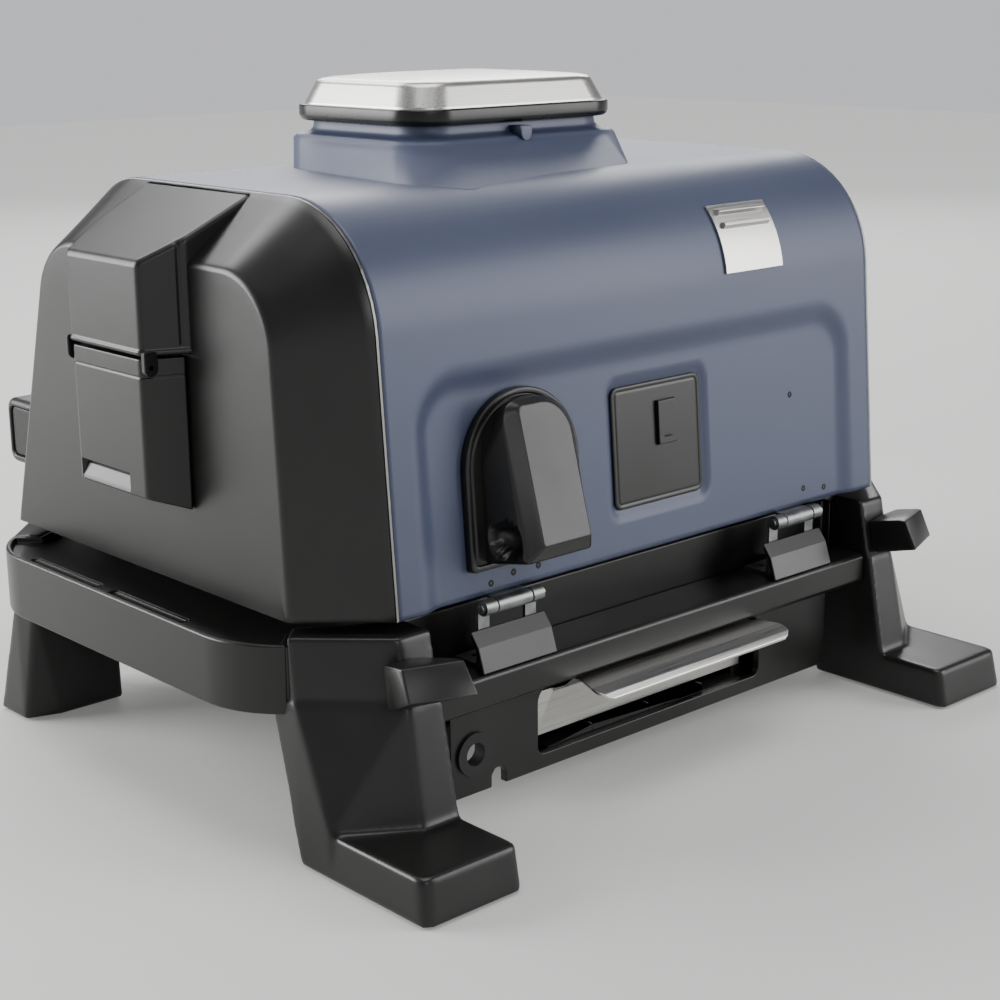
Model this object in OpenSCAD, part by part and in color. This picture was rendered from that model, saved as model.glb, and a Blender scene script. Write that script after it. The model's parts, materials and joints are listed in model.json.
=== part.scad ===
// Electric wood-pellet outdoor oven and smoker, hinged lid, standing on four legs.
// Millimetres. X runs along the lid (smoke box at +X), the front faces -Y, Z is up.
// The origin is on the ground under the middle of the lid.

/* [Lid] */
// Length of the painted lid shell along X
shell_w = 447; // [360:1:540]
// Height of the lid above its bottom edge
lid_h = 239.5; // [200:0.5:300]
// Lid bottom edge to the middle, at the rear
lid_rear = 201; // [180:1:245]
// Lid bottom edge to the middle, at the front
lid_front = 202; // [180:1:245]
// Thickness of the lid's outer walls
wall = 3; // [2:0.1:4]
// Rear shoulder radius
shoulder_r = 80; // [50:1:95]
// Length of each end cap along X
cap_w = 48.5; // [36:0.5:60]
// How far the end cap's face steps in from the shell's outline
cap_step = 41; // [30:1:50]
// Gap of insulation between the lid shell and its steel liner
liner_gap = 36; // [28:1:44]
// Thickness of the steel sheet parts
sheet = 1.5; // [1:0.1:2]

/* [Base] */
// Height of the ground to the underside of the deck skirt
skirt_z = 92; // [80:1:120]
// Height of the deck skirt
skirt_h = 43; // [36:1:60]
// Overhang of the deck past the lid's end caps
deck_over = 28; // [15:1:45]
// Overhang of the deck past the lid's rear edge
deck_rear = 6; // [3:1:12]
// Width of the flat corner of the deck, along each side
corner_cut = 70; // [50:1:90]
// Wall of the base mouldings
base_wall = 4; // [3:0.5:6]
// Length of the rear feet behind the deck
foot_out = 79; // [60:1:110]
// Height of the rear feet
foot_h = 27.5; // [20:0.5:40]
// Rear bar height
bar_h = 22; // [16:1:28]

/* [Cooking space] */
// Depth of the cooking pot
pot_h = 56; // [40:1:64]
// Thickness of the pot's flange
flange_t = 2; // [1.5:0.1:3]
// Spacing of the grate's bars
grate_pitch = 18; // [14:1:26]
// Thickness of a grate bar
grate_bar = 4; // [3:0.5:6]

/* [Grease tray] */
// Half width of the tray
tray_x = 100; // [80:1:106]
// Depth of the tray from its front to its rear wall
tray_len = 165; // [120:1:175]
// Height of the tray's walls
tray_h = 30; // [20:1:32]

/* [Chimney] */
// Width of the chimney's shoulder along X
chimney_x = 192; // [160:1:210]
// Width of the chimney's shoulder along Y
chimney_y = 150; // [120:1:160]
// Height of the collar's shoulder above the lid
collar_h = 20; // [14:1:30]
// Height of the black ring
ring_h = 9.5; // [6:0.5:14]
// Height of the steel cap above the ring
cap_h = 20.5; // [14:0.5:30]

/* [Handle] */
// Length of the handle bar
handle_len = 416; // [300:1:430]
// Height of the handle bar
handle_h = 50; // [36:1:60]
// Thickness of the handle bar, front to back
handle_t = 54; // [30:1:60]
// Gap for the fingers behind the handle bar
finger_gap = 37.2; // [28:0.1:45]

/* [Smoke box] */
// Width of the smoke box along Y
box_y = 80; // [60:1:100]
// How far the smoke box stands out past the end cap
box_out = 27; // [20:1:28]
// Height of the parting line between its hood and its door
box_part_z = 293; // [270:1:300]
// Height of the door's lower edge
door_z = 205; // [195:1:225]

/* [Hinges and joints] */
// Height of the lid hinge axis below the lid's bottom edge
hinge_drop = 6; // [5:0.5:8]
// Radius of the hinge pins
pin_r = 3; // [2:0.25:3.5]
// Radial clearance of a running fit
run_fit = 0.05; // [0.02:0.01:0.1]
// Gap between pieces that don't touch
gap = 0.3; // [0.25:0.05:0.5]

/* [Controls] */
// Radius of the mode dial
dial_r = 19; // [14:0.5:22]
// Radius of the push buttons
button_r = 7; // [5:0.5:9]
// Travel of a push button
button_travel = 1.5; // [1:0.1:2.5]
// Distance between two push buttons
button_pitch = 24; // [20:1:28]

/* [Hidden] */
$fn = 48;
eps = 0.01;
pad_t = 1.5;                            // thickness of the foot pads
seam_x = shell_w / 2;                   // plane where shell and end cap meet
cap_x = seam_x + cap_w;                 // face of the end cap
rim_z = skirt_z + skirt_h;              // top of the deck's rim
lid_z = rim_z + 12;                     // bottom edge of the lid
lid_top = lid_z + lid_h;
deck_x = cap_x + deck_over;
deck_y = lid_rear + deck_rear;
deck_t = base_wall;
deck_top = rim_z - base_wall;           // top of the deck plate
corner_r = 65;                          // radius between side and flat corner
cheek_x = deck_x - 95;                  // inner face of the legs
leg_top = rim_z + 5;
foot_x = deck_x - 20;                   // outer face of the legs
bar_y = deck_y + 5;                     // rear face of the rear bar
bar_z = skirt_z - 12;
notch_y = lid_rear - 29;                // front wall of the trough behind the lid
rear_lean = 0.0776;                     // run over rise of the lid's rear wall
front_lean = 0.24;
roof_y = 74;                            // front end of the flat roof
roof_slope = 0.671;
cavity_x = seam_x - 25.5;               // the liner's outer half length
hinge_y = lid_rear + 1;
hinge_z = lid_z - hinge_drop;
knuckle_r = pin_r + 2;
hinge_x = 136.5;                        // middle of each hinge
tab_w = 9;
lug_w = 28;
seat_z = lid_z - 3.3;                   // top of the seat that the gasket closes on
pot_x = cavity_x - 22;
pot_y = 142;
pot_bottom = seat_z - 3 - pot_h;
grate_z = seat_z - 16;
tray_y = notch_y + 12;                  // rear wall of the closed tray
tray_z = 36;                            // underside of the tray
panel_y = notch_y + 18;                 // front face of the rear panel
panel_t = base_wall + 1.7;
handle_z = lid_z + 9;
handle_back = lid_front - front_lean * 30 + finger_gap;
box_c = 18;                             // middle of the smoke box along Y
box_x = cap_x + box_out;
box_top = lid_top - 36.5;
door_pin_x = box_x - 4;
door_pin_z = box_part_z - 5.5;
ear_y = box_y / 2 + 2.2;                 // inner face of the ears that hold the door's pin
ear_t = 2.6;
face_lo = [-deck_y - 17, skirt_z - 10];  // lower and upper edge of the control face
face_hi = [-deck_y + 13, rim_z + 1];
face_mid = (face_lo + face_hi) / 2;
face_tilt = atan2(face_hi[1] - face_lo[1], face_hi[0] - face_lo[0]);
cord_x = 163;                           // cable hole in the rear panel
cord_z = 46;
cord_r = 12;
slot_top = 74;                          // top of the tray's slot in the rear panel
tub_floor = 27;
fan_z = lid_top - liner_gap - 16;
fan_r = 52;

// ---- outlines ----
function unit(v) = v / norm(v);
function normal(a, b) = let (d = unit(b - a)) [d[1], -d[0]];
// A counter-clockwise outline moved inwards by t, its corners kept sharp
function inset(pts, t) = [for (i = [0:len(pts) - 1])
    let (p = pts[i], a = pts[(i + len(pts) - 1) % len(pts)], b = pts[(i + 1) % len(pts)],
        m = normal(a, p), n = normal(p, b))
    p - (m + n) * t / (1 + m * n)];
// One corner as an arc of radius r in n chords; r = 0 keeps the point
function corner(a, p, b, r, n) = r <= 0 ? [p] :
    let (u = unit(a - p), v = unit(b - p), half = acos(u * v) / 2,
        c = p + unit(u + v) * r / sin(half), s = p + u * r / tan(half) - c,
        turn = (u[0] * v[1] - u[1] * v[0] > 0 ? -1 : 1) * (180 - 2 * half))
    [for (i = [0:n]) let (w = turn * i / n)
        c + [s[0] * cos(w) - s[1] * sin(w), s[0] * sin(w) + s[1] * cos(w)]];
function rounded(pts, r, n = 8) = [for (i = [0:len(pts) - 1])
    each corner(pts[(i + len(pts) - 1) % len(pts)], pts[i], pts[(i + 1) % len(pts)], r[i], n)];
function less(r, t) = [for (x = r) x > 0 ? max(x - t, 0.5) : 0];
function rect(x, y) = [[x, -y], [x, y], [-x, y], [-x, -y]];
// Lid cross-section as [y, z], its open bottom carried down by b
function lid_pts(b = 0) = [[lid_rear + rear_lean * b, lid_z - b],
    [lid_rear - rear_lean * lid_h, lid_top], [-roof_y, lid_top],
    let (run = (lid_front - roof_y - front_lean * lid_h) / (1 - front_lean * roof_slope))
    [-roof_y - run, lid_top - run * roof_slope],
    [-lid_front - front_lean * b, lid_z - b]];
lid_r = [0, shoulder_r, 62, 38, 0];
// End cap face as [y, z]
function cap_pts(b = 0) = [[lid_rear - cap_step - 1.5 + 0.05 * b, lid_z - b],
    [lid_rear - cap_step - 12, lid_top - cap_step + 2],
    [-lid_front + cap_step + 4 + 0.31 * (lid_h - cap_step), lid_top - cap_step + 2],
    [-lid_front + cap_step + 4 - 0.31 * b, lid_z - b]];
cap_r = [0, 46, 44, 0];
module along_x(x0, x1) translate([x0, 0, 0]) rotate([90, 0, 90]) linear_extrude(x1 - x0) children();
module both() { children(); mirror([1, 0, 0]) children(); }
module plate(x, y, r, h) linear_extrude(h) polygon(rounded(rect(x, y), [r, r, r, r]));
// Local frame on the lid's rear wall: x along the lid, y up the wall, z outwards
module on_rear() translate([0, lid_rear, lid_z]) rotate([atan(rear_lean) - 90, 0, 0])
    mirror([0, 1, 0]) children();
// Local frame on the control face: x along the lid, y up the face, z outwards
module on_face() translate([0, face_mid[0], face_mid[1]]) rotate([face_tilt, 0, 0]) children();

// ---- base ----
function chamfer(x) = deck_x + deck_y - corner_cut - x;
// Plan of the deck, cut back for the four legs and for the troughs between them
deck_outline = let (x1 = deck_x - 23.6, y1 = chamfer(x1), yf = chamfer(deck_x))
    [[deck_x, -yf], [deck_x, yf], [x1, y1], [x1 - 14, y1 - 14], [cheek_x, notch_y + 7.6],
    [cheek_x, notch_y], [-cheek_x, notch_y], [-cheek_x, notch_y + 7.6], [14 - x1, y1 - 14],
    [-x1, y1], [-deck_x, yf], [-deck_x, -yf], [-x1, -y1], [14 - x1, 14 - y1],
    [-cheek_x, -notch_y - 7.6], [-cheek_x, -notch_y], [cheek_x, -notch_y],
    [cheek_x, -notch_y - 7.6], [x1 - 14, 14 - y1], [x1, -y1]];
deck_r = [corner_r, corner_r, 0, 0, 0, 0, 0, 0, 0, 0, corner_r, corner_r, 0, 0, 0, 0, 0, 0, 0, 0];
module base_housing() color("#2b2b29") difference() {
    translate([0, 0, skirt_z]) linear_extrude(skirt_h) polygon(rounded(deck_outline, deck_r));
    translate([0, 0, skirt_z - 1]) linear_extrude(deck_top - deck_t - skirt_z + 1)
        polygon(rounded(inset(deck_outline, base_wall), less(deck_r, base_wall)));
    translate([0, 0, deck_top]) linear_extrude(base_wall + 1)
        polygon(rounded(inset(deck_outline, base_wall), less(deck_r, base_wall)));
    translate([0, 0, skirt_z]) plate(pot_x + 3, pot_y + 3, 12, skirt_h + 1);
    both() for (y = [-70, 30]) translate([cap_x + deck_over / 2 + 1, y, deck_top - 1.5])
        plate(3, 42, 2.9, 2);
}
module gasket_seat() color("#242423") difference() {
    translate([0, 0, deck_top]) plate(cavity_x + 7, notch_y - base_wall - gap, 14, seat_z - deck_top);
    translate([0, 0, deck_top - 1]) plate(pot_x + 3, pot_y + 3, 12, skirt_h);
    translate([0, 0, seat_z - 3]) plate(pot_x + 11 + gap, pot_y + 8 + gap, 14, 4);
}
// Two plan sections joined: x half widths a and b, front edges f and g, open at y1
module tub_form(a, b, f, g, z0, z1, y1) hull() {
    translate([0, 0, skirt_z - 20]) linear_extrude(z1 - skirt_z + 20)
        polygon([[a, f], [a, y1], [-a, y1], [-a, f]]);
    translate([0, 0, z0]) linear_extrude(1) polygon([[b, g], [b, y1], [-b, y1], [-b, g]]);
}
module tub() color("#1d1d1c") difference() {
    tub_form(cheek_x - 12, tray_x + 12, -160, -110, tub_floor - 3, skirt_z - gap, panel_y - gap);
    tub_form(cheek_x - 15, tray_x + 9, -157, -107, tub_floor, skirt_z + 1, panel_y + 1);
    translate([cord_x, panel_y + 1, cord_z]) rotate([90, 0, 0]) cylinder(r = cord_r + 4, h = 60);
}
module rear_panel() color("#262625") {
    panel_sheet();
    // a ledge under the tray, stiffened by webs
    translate([6 - tray_x, panel_y - 12, tub_floor + 2 * gap]) cube([2 * tray_x - 12, 12 + eps, 2]);
    for (x = [-54, 0, 54]) translate([x - 1, panel_y - 12, tub_floor + 2 * gap + 2 - eps])
        cube([2, 12 + eps, 5]);
}
module panel_sheet() difference() {
    translate([0, panel_y + panel_t, 0]) rotate([90, 0, 0]) linear_extrude(panel_t) difference() {
        polygon([[182, 19], [182, skirt_z + 6 - gap], [-182, skirt_z + 6 - gap], [-182, 19]]);
        polygon(rounded([[tray_x + 8, 29], [tray_x + 8, slot_top], [-tray_x - 8, slot_top],
            [-tray_x - 8, 29]], [6, 10, 10, 6]));
        polygon([[136, 18], [148, 18], [148, 27], [145, 31], [139, 31], [136, 27]]);
    }
    translate([cord_x, panel_y + panel_t + 1, cord_z]) rotate([90, 0, 0])
        cylinder(r = cord_r, h = panel_t + 2);
}
module cable_grommet() color("#141414") translate([cord_x, panel_y + panel_t + 2, cord_z])
    rotate([90, 0, 0]) difference() {
        union() {
            cylinder(r = cord_r + 2, h = 2);
            cylinder(r = cord_r, h = panel_t + 2);
            translate([0, 0, panel_t + 2]) cylinder(r = cord_r + 2, h = 2);
        }
        translate([0, 0, -1]) cylinder(r = cord_r - 4.5, h = panel_t + 8);
    }
module rear_bar() color("#2d2d2b") along_x(gap - cheek_x, cheek_x - gap)
    polygon([[panel_y + panel_t + gap, bar_z], [bar_y - 3, bar_z], [bar_y, bar_z + 3],
        [bar_y, bar_z + bar_h - 2], [bar_y - 2, bar_z + bar_h], [notch_y, bar_z + bar_h],
        [notch_y, bar_z + bar_h - 3], [panel_y + panel_t + gap, bar_z + bar_h - 3]]);
// One rear leg at +X: upper cheek, column and foot
module leg_rear() {
    x1 = deck_x - 23.6;
    y1 = chamfer(x1);
    xi = cheek_x + gap;
    y_end = deck_y + foot_out;
    cheek = [[xi, deck_y - 27.4 + 2 * gap], [x1 - 14, y1 - 14 + 2 * gap], [x1 - gap, y1 + gap]];
    hull() {
        translate([0, 0, leg_top - 1]) linear_extrude(1)
            polygon(concat(cheek, [[deck_x - corner_cut, deck_y], [xi, deck_y]]));
        translate([0, 0, skirt_z - gap - 1]) linear_extrude(1)
            polygon(concat(cheek, [[x1 + 1, y1 + 7.4], [deck_x - 70, deck_y + 10], [xi, deck_y + 10]]));
    }
    hull() {
        translate([0, 0, skirt_z - gap - 1]) linear_extrude(1) polygon([[xi, 152], [foot_x - 2, 143],
            [foot_x - 2, 168], [deck_x - 70, deck_y + 10], [xi, deck_y + 10]]);
        translate([0, 0, pad_t]) linear_extrude(foot_h - 2) polygon([[xi, 171], [foot_x, 171],
            [foot_x - 2, 203], [deck_x - 68, deck_y + 22], [xi, deck_y + 22]]);
    }
    hull() {
        translate([0, 0, pad_t]) linear_extrude(1)
            polygon(rounded([[foot_x, 172], [foot_x, y_end], [xi, y_end], [xi, 172]], [3, 8, 6, 1], 4));
        translate([0, 0, pad_t + foot_h - 1]) linear_extrude(1)
            polygon(rounded([[foot_x - 3, 175], [foot_x - 3, y_end - 5], [xi, y_end - 5], [xi, 175]],
                [3, 8, 6, 1], 4));
    }
}
module leg_front() {
    x1 = deck_x - 23.6;
    y1 = -chamfer(x1);
    xi = cheek_x + gap;
    cheek = [[xi, -deck_y], [deck_x - corner_cut, -deck_y], [x1 - gap, y1 - gap],
        [x1 - 14, y1 + 14 - 2 * gap], [xi, 27.4 - deck_y - 2 * gap]];
    translate([0, 0, skirt_z - gap - 1]) linear_extrude(rim_z - skirt_z + gap + 1) polygon(cheek);
    hull() {
        translate([0, 0, skirt_z - gap - 1]) linear_extrude(1) polygon([[xi, -deck_y],
            [deck_x - corner_cut, -deck_y], [x1, y1 - 2], [x1 - 4, -144], [xi, -150]]);
        translate([0, 0, pad_t]) linear_extrude(1) polygon(rounded([[foot_x + 1, -188],
            [foot_x + 1, -152], [foot_x - 22, -144], [xi, -144], [xi, -deck_y + 3],
            [deck_x - 60, -deck_y + 3]], [3, 3, 2, 2, 4, 4], 3));
    }
}
module leg_rear_right() color("#2b2b29") leg_rear();
module leg_rear_left() color("#2b2b29") mirror([1, 0, 0]) leg_rear();
module leg_front_right() color("#2b2b29") leg_front();
module leg_front_left() color("#2b2b29") mirror([1, 0, 0]) leg_front();
module foot_pads() color("#141414") both() {
    for (y = [190, deck_y + foot_out - 24]) translate([foot_x - 37, y, 0]) cylinder(r = 11, h = pad_t);
    translate([foot_x - 37, -168, 0]) cylinder(r = 11, h = pad_t);
}
// A cleat for winding up the lead, cut square to the flat corner
module cord_cleat() difference() {
    hull() {
        translate([0, 0, 103]) linear_extrude(20) polygon([[cheek_x + 6, deck_y - 4],
            [cheek_x + 34, deck_y - 24], [cheek_x + 41.6, deck_y + 12], [cheek_x + 6, deck_y + 12]]);
        translate([0, 0, 130]) linear_extrude(1) polygon([[cheek_x + 5.6, deck_y + 35.4],
            [cheek_x + 42.2, deck_y + 23.2], [cheek_x + 42.2, deck_y + 20], [cheek_x + 5.6, deck_y + 30]]);
        translate([0, 0, 112.3]) linear_extrude(1) polygon([[cheek_x + 4.5, deck_y + 46],
            [cheek_x + 43.6, deck_y + 31], [cheek_x + 43.6, deck_y + 28], [cheek_x + 4.5, deck_y + 42]]);
    }
    leg_rear_room();
}
// Space that a rear leg takes, with its gap, for the cleat to stand clear of
module leg_rear_room() hull() {
    translate([cheek_x - 20, 100, leg_top + 1]) cube([80, deck_y - 100 + gap, 1]);
    translate([cheek_x - 20, 100, skirt_z]) cube([80, deck_y - 90 + gap, 1]);
}
module cord_cleat_right() color("#3a3a38") cord_cleat();
module cord_cleat_left() color("#3a3a38") mirror([1, 0, 0]) cord_cleat();
// A bent cover over the foot of a hinge
module hinge_cover() along_x(hinge_x - 31, hinge_x + 31)
    polygon([[lid_rear - 2.2, bar_z + 47], [lid_rear + 4.8, bar_z + 38], [bar_y - 1, bar_z + bar_h + gap],
        [bar_y - 3.8, bar_z + bar_h + gap], [lid_rear + 2.2, bar_z + 37], [lid_rear - 2.2, bar_z + 42.5]]);
module hinge_cover_right() color("#343432") hinge_cover();
module hinge_cover_left() color("#343432") mirror([1, 0, 0]) hinge_cover();
module hinge_brackets() color("#b9b8b2") both() {
    difference() {
        union() for (s = [-1, 1]) translate([hinge_x + s * (lug_w / 2 + tab_w / 2 + 1) - tab_w / 2, 0, 0]) {
            along_x(0, tab_w) translate([hinge_y, hinge_z]) circle(r = knuckle_r);
            translate([0, hinge_y - knuckle_r - 1, bar_z + bar_h])
                cube([tab_w, 2.4, hinge_z - bar_z - bar_h]);
        }
        along_x(hinge_x - 60, hinge_x + 60) translate([hinge_y, hinge_z]) circle(r = pin_r + run_fit / 2);
    }
    difference() {
        translate([hinge_x - 24, notch_y + 4, bar_z + bar_h])
            cube([48, hinge_y - knuckle_r - notch_y - 5, 2.4]);
        for (x = [-14, 14]) translate([hinge_x + x, notch_y + 12, 0]) cylinder(r = 2.2, h = 200);
    }
}
module hinge_pins() color("#c9c8c2") both()
    along_x(hinge_x - 26, hinge_x + 26) translate([hinge_y, hinge_z]) circle(r = pin_r);
module hinge_leaves() color("#b9b8b2") both() along_x(hinge_x - lug_w / 2, hinge_x + lug_w / 2)
    difference() {
        union() {
            translate([hinge_y, hinge_z]) circle(r = knuckle_r);
            translate([lid_rear - wall - 4.3, lid_z - 3]) square([6, 2]);
            translate([lid_rear - wall - 4.3, lid_z - 3]) square([2, 26]);
        }
        translate([hinge_y, hinge_z]) circle(r = pin_r + run_fit);
    }
module cooking_pot() color("#31302f") {
    difference() {
        union() {
            translate([0, 0, pot_bottom]) plate(pot_x, pot_y, 12, pot_h);
            translate([0, 0, seat_z - 3]) plate(pot_x + 11, pot_y + 8, 14, flange_t);
        }
        translate([0, 0, pot_bottom + 2]) plate(pot_x - 2, pot_y - 2, 10, pot_h + 10);
        translate([0, 0, pot_bottom - 1]) cylinder(r = 8, h = 4);
    }
    for (x = [-1, 1], y = [-1, 1]) translate([x * (pot_x - 14), y * (pot_y - 14), pot_bottom + 2])
        cylinder(r = 5, h = grate_z - pot_bottom - 2);
}
module grill_grate() color("#1c1b1a") {
    n = floor((pot_x - 12) / grate_pitch);
    for (y = [-pot_y + 8, 0, pot_y - 14]) translate([6 - pot_x, y, grate_z]) cube([2 * pot_x - 12, 6, 5]);
    for (i = [-n:n]) translate([i * grate_pitch - grate_bar / 2, 8 - pot_y, grate_z + 5 - eps])
        cube([grate_bar, 2 * pot_y - 16, 7]);
}
module tray_rails() color("#1d1d1c") both() translate([0, tray_y - tray_len + 5, tub_floor + gap]) {
    translate([tray_x + gap, 0, 0]) cube([5, tray_len - 8, tray_z - tub_floor + 15]);
    translate([tray_x - 5, 0, 0]) cube([8, tray_len - 8, tray_z - tub_floor - 2 * gap]);
}
module grease_tray() color("#c6c5bf") {
    y0 = tray_y - tray_len;
    difference() {
        translate([-tray_x, y0, tray_z]) cube([2 * tray_x, tray_len, tray_h]);
        translate([sheet - tray_x, y0 + sheet, tray_z + sheet])
            cube([2 * (tray_x - sheet), tray_len - 2 * sheet, tray_h]);
    }
    // the pull lip: out through the slot, up under the bar, then rolled over and down
    lip = [[tray_y - sheet, tray_z + tray_h - sheet], [tray_y + 12, slot_top - 3], [bar_y - 9, bar_z - 2],
        [bar_y + 2, bar_z - 0.6], [bar_y + 15, bar_z - 1.2], [bar_y + 24, bar_z - 3.4],
        [bar_y + 27, bar_z - 6.5]];
    intersection() {
        along_x(4 - tray_x, tray_x - 4)
            polygon(concat(lip, [for (i = [6:-1:0]) lip[i] - [0, 1.2 * sheet]]));
        translate([0, bar_y - 80, 0]) linear_extrude(skirt_z)
            polygon(rounded([[84, 0], [84, 74], [tray_x - 4, 107], [4 - tray_x, 107], [-84, 74], [-84, 0]],
                [0, 0, 9, 9, 0, 0], 4));
    }
}
// ---- controls ----
module control_panel() color("#1f1f1e") {
    back = -notch_y - gap;
    outer = [face_hi, face_lo, [-deck_y - 5, skirt_z - 27], [back, skirt_z - 25], [back, rim_z + 4],
        [face_hi[0] + 3, rim_z + 4]];
    inner = inset(outer, base_wall);
    difference() {
        along_x(gap - cheek_x, cheek_x - gap) polygon(outer);
        along_x(gap + base_wall - cheek_x, cheek_x - gap - base_wall)
            polygon([for (p = inner) p[0] > back - 8 ? p + [8, 0] : p]);
        on_face() {
            translate([0, 0, -9]) cylinder(r = 4.2, h = 30);
            translate([-90, 0, -2.2]) plate(40, 15, 4, 10);
            for (i = [0:3]) translate([62 + i * button_pitch, 0, -9]) cylinder(r = button_r + gap, h = 30);
        }
    }
    on_face() for (x = [-120, -30, 38, 142], y = [-13, 13]) translate([x, y, -6.4]) cylinder(r = 2, h = 3);
}
module display_lens() color("#0c0e10") on_face() translate([-90, 0, -2])
    plate(40 - gap, 15 - gap, 3.7, 1.8);
module circuit_board() color("#1f4a33") on_face() difference() {
    translate([-130, -17, -8]) cube([278, 34, 1.6]);
    translate([-9.5, -9.5, -9]) cube([19, 19, 4]);
}
module dial_encoder() color("#8d8d88") on_face() difference() {
    translate([-9, -9, -14]) cube([18, 18, 14 - base_wall - gap]);
    translate([0, 0, -12.5]) cylinder(r = 3 + run_fit, h = 20);
}
module mode_dial() color("#2f2f2e") on_face() {
    translate([0, 0, -12]) cylinder(r = 3, h = 14);
    difference() {
        translate([0, 0, 0.8]) cylinder(r = dial_r, h = 15);
        for (a = [0:15:345]) rotate(a) translate([dial_r + 0.6, 0, 0]) cylinder(r = 1.4, h = 18, $fn = 16);
        rotate(90) translate([dial_r - 9, -0.8, 15]) cube([7, 1.6, 2]);
    }
}
module button(i) on_face() translate([62 + i * button_pitch, 0, -base_wall + 0.5])
    cylinder(r = button_r, h = base_wall + button_travel + 0.7);
module power_button() color("#3c3c3a") button(0);
module time_button() color("#3c3c3a") button(1);
module heat_button() color("#3c3c3a") button(2);
module smoke_button() color("#3c3c3a") button(3);
// ---- lid ----
module lid_solid(t, b) polygon(rounded(inset(lid_pts(b + t), t), less(lid_r, t), 12));
module lid_shell() color("#5a6a8c") difference() {
    along_x(-seam_x, seam_x) lid_solid(0, 0);
    along_x(-seam_x - 1, seam_x + 1) lid_solid(wall, 4);
    translate([0, 0, lid_top - 10]) cylinder(r = 46, h = 20);
    at_screws() translate([0, 0, -wall - 3]) cylinder(r = 1.2 + run_fit, h = wall + 6);
}
module cap_solid(t, b) hull() {
    along_x(seam_x + (t > 0 ? -1 : 2), seam_x + 2 + eps) lid_solid(t + 0.8, b);
    along_x(cap_x - t - eps, cap_x - t) polygon(rounded(inset(cap_pts(b + t), t), less(cap_r, t), 10));
}
// End cap at +X; the smoke box side has a window into the pellet chamber
module end_cap(window) difference() {
    cap_solid(0, 0);
    cap_solid(wall, 4);
    if (window) translate([cap_x - 12, box_c - 32, door_z + 9]) cube([30, 64, box_part_z - door_z - 18]);
}
module end_cap_right() color("#292927") end_cap(true);
module end_cap_left() color("#292927") mirror([1, 0, 0]) end_cap(false);
module seam_trims() color("#8b8b88") both() difference() {
    along_x(seam_x + gap, seam_x + 2 - eps) lid_solid(0.4, 0);
    along_x(seam_x, seam_x + 3) lid_solid(wall, 4);
}
function liner_pts(t, b = 0) = let (g = liner_gap + t, f = liner_gap - 4 + t)
    [[lid_rear - g - 7, lid_z - b], [lid_rear - g - 16, lid_top - liner_gap + 16 - t],
    [-roof_y + 12, lid_top - liner_gap + 16 - t],
    [-lid_front + f + 32, lid_top - liner_gap - 42 - t / 2], [-lid_front + f + 8, lid_z - b]];
module lid_liner() color("#8f8e89") difference() {
    union() {
        along_x(-cavity_x, cavity_x) polygon(rounded(liner_pts(0), [0, 60, 50, 30, 0], 8));
        translate([0, 0, lid_z + 0.5]) linear_extrude(sheet) polygon([[seam_x - 1, -lid_front + wall + 3],
            [seam_x - 1, lid_rear - wall - 5], [1 - seam_x, lid_rear - wall - 5],
            [1 - seam_x, -lid_front + wall + 3]]);
    }
    along_x(sheet - cavity_x, cavity_x - sheet)
        polygon(rounded(liner_pts(sheet, 2), less([0, 60, 50, 30, 0], sheet), 8));
    translate([0, 0, lid_top - 60]) cylinder(r = 6 + gap, h = 80);
    translate([cavity_x - 5, box_c, door_z + 40]) rotate([0, 90, 0]) cylinder(r = 14, h = 10);
}
module lid_gasket() color("#171717") {
    y1 = lid_rear - liner_gap - 7; y0 = -lid_front + liner_gap + 4;
    difference() {
        translate([0, (y0 + y1) / 2, seat_z + gap]) plate(cavity_x + 5, (y1 - y0) / 2 + 5, 14, 3);
        translate([0, (y0 + y1) / 2, seat_z]) plate(cavity_x - 6, (y1 - y0) / 2 - 4, 8, 5);
    }
}
module handle_bar() color("#232322") difference() {
    along_x(-handle_len / 2, handle_len / 2)
        translate([-handle_back - handle_t / 2, handle_z + handle_h / 2])
        polygon(rounded(rect(handle_t / 2, handle_h / 2), [9, 9, 9, 9]));
    both() along_x(handle_len / 2 - 3, handle_len / 2 + 1)
        translate([-handle_back - handle_t / 2, handle_z + handle_h / 2])
        polygon(rounded(rect(handle_t / 2 - 5, handle_h / 2 - 5), [6, 6, 6, 6]));
}
module handle_end_trims() color("#3a3a39") both() along_x(handle_len / 2 - 3, handle_len / 2 - 1.2)
    translate([-handle_back - handle_t / 2, handle_z + handle_h / 2])
    polygon(rounded(rect(handle_t / 2 - 5.2, handle_h / 2 - 5.2), [5.8, 5.8, 5.8, 5.8]));
module handle_standoffs() color("#1a1a19") both() along_x(handle_len / 2 - 42, handle_len / 2 - 8)
    polygon([[-handle_back, handle_z + 2], [-handle_back, handle_z + handle_h - 2],
        [-lid_front - eps + front_lean * (handle_z + handle_h - 2 - lid_z), handle_z + handle_h - 2],
        [-lid_front - eps + front_lean * (handle_z + 2 - lid_z), handle_z + 2]]);
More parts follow.
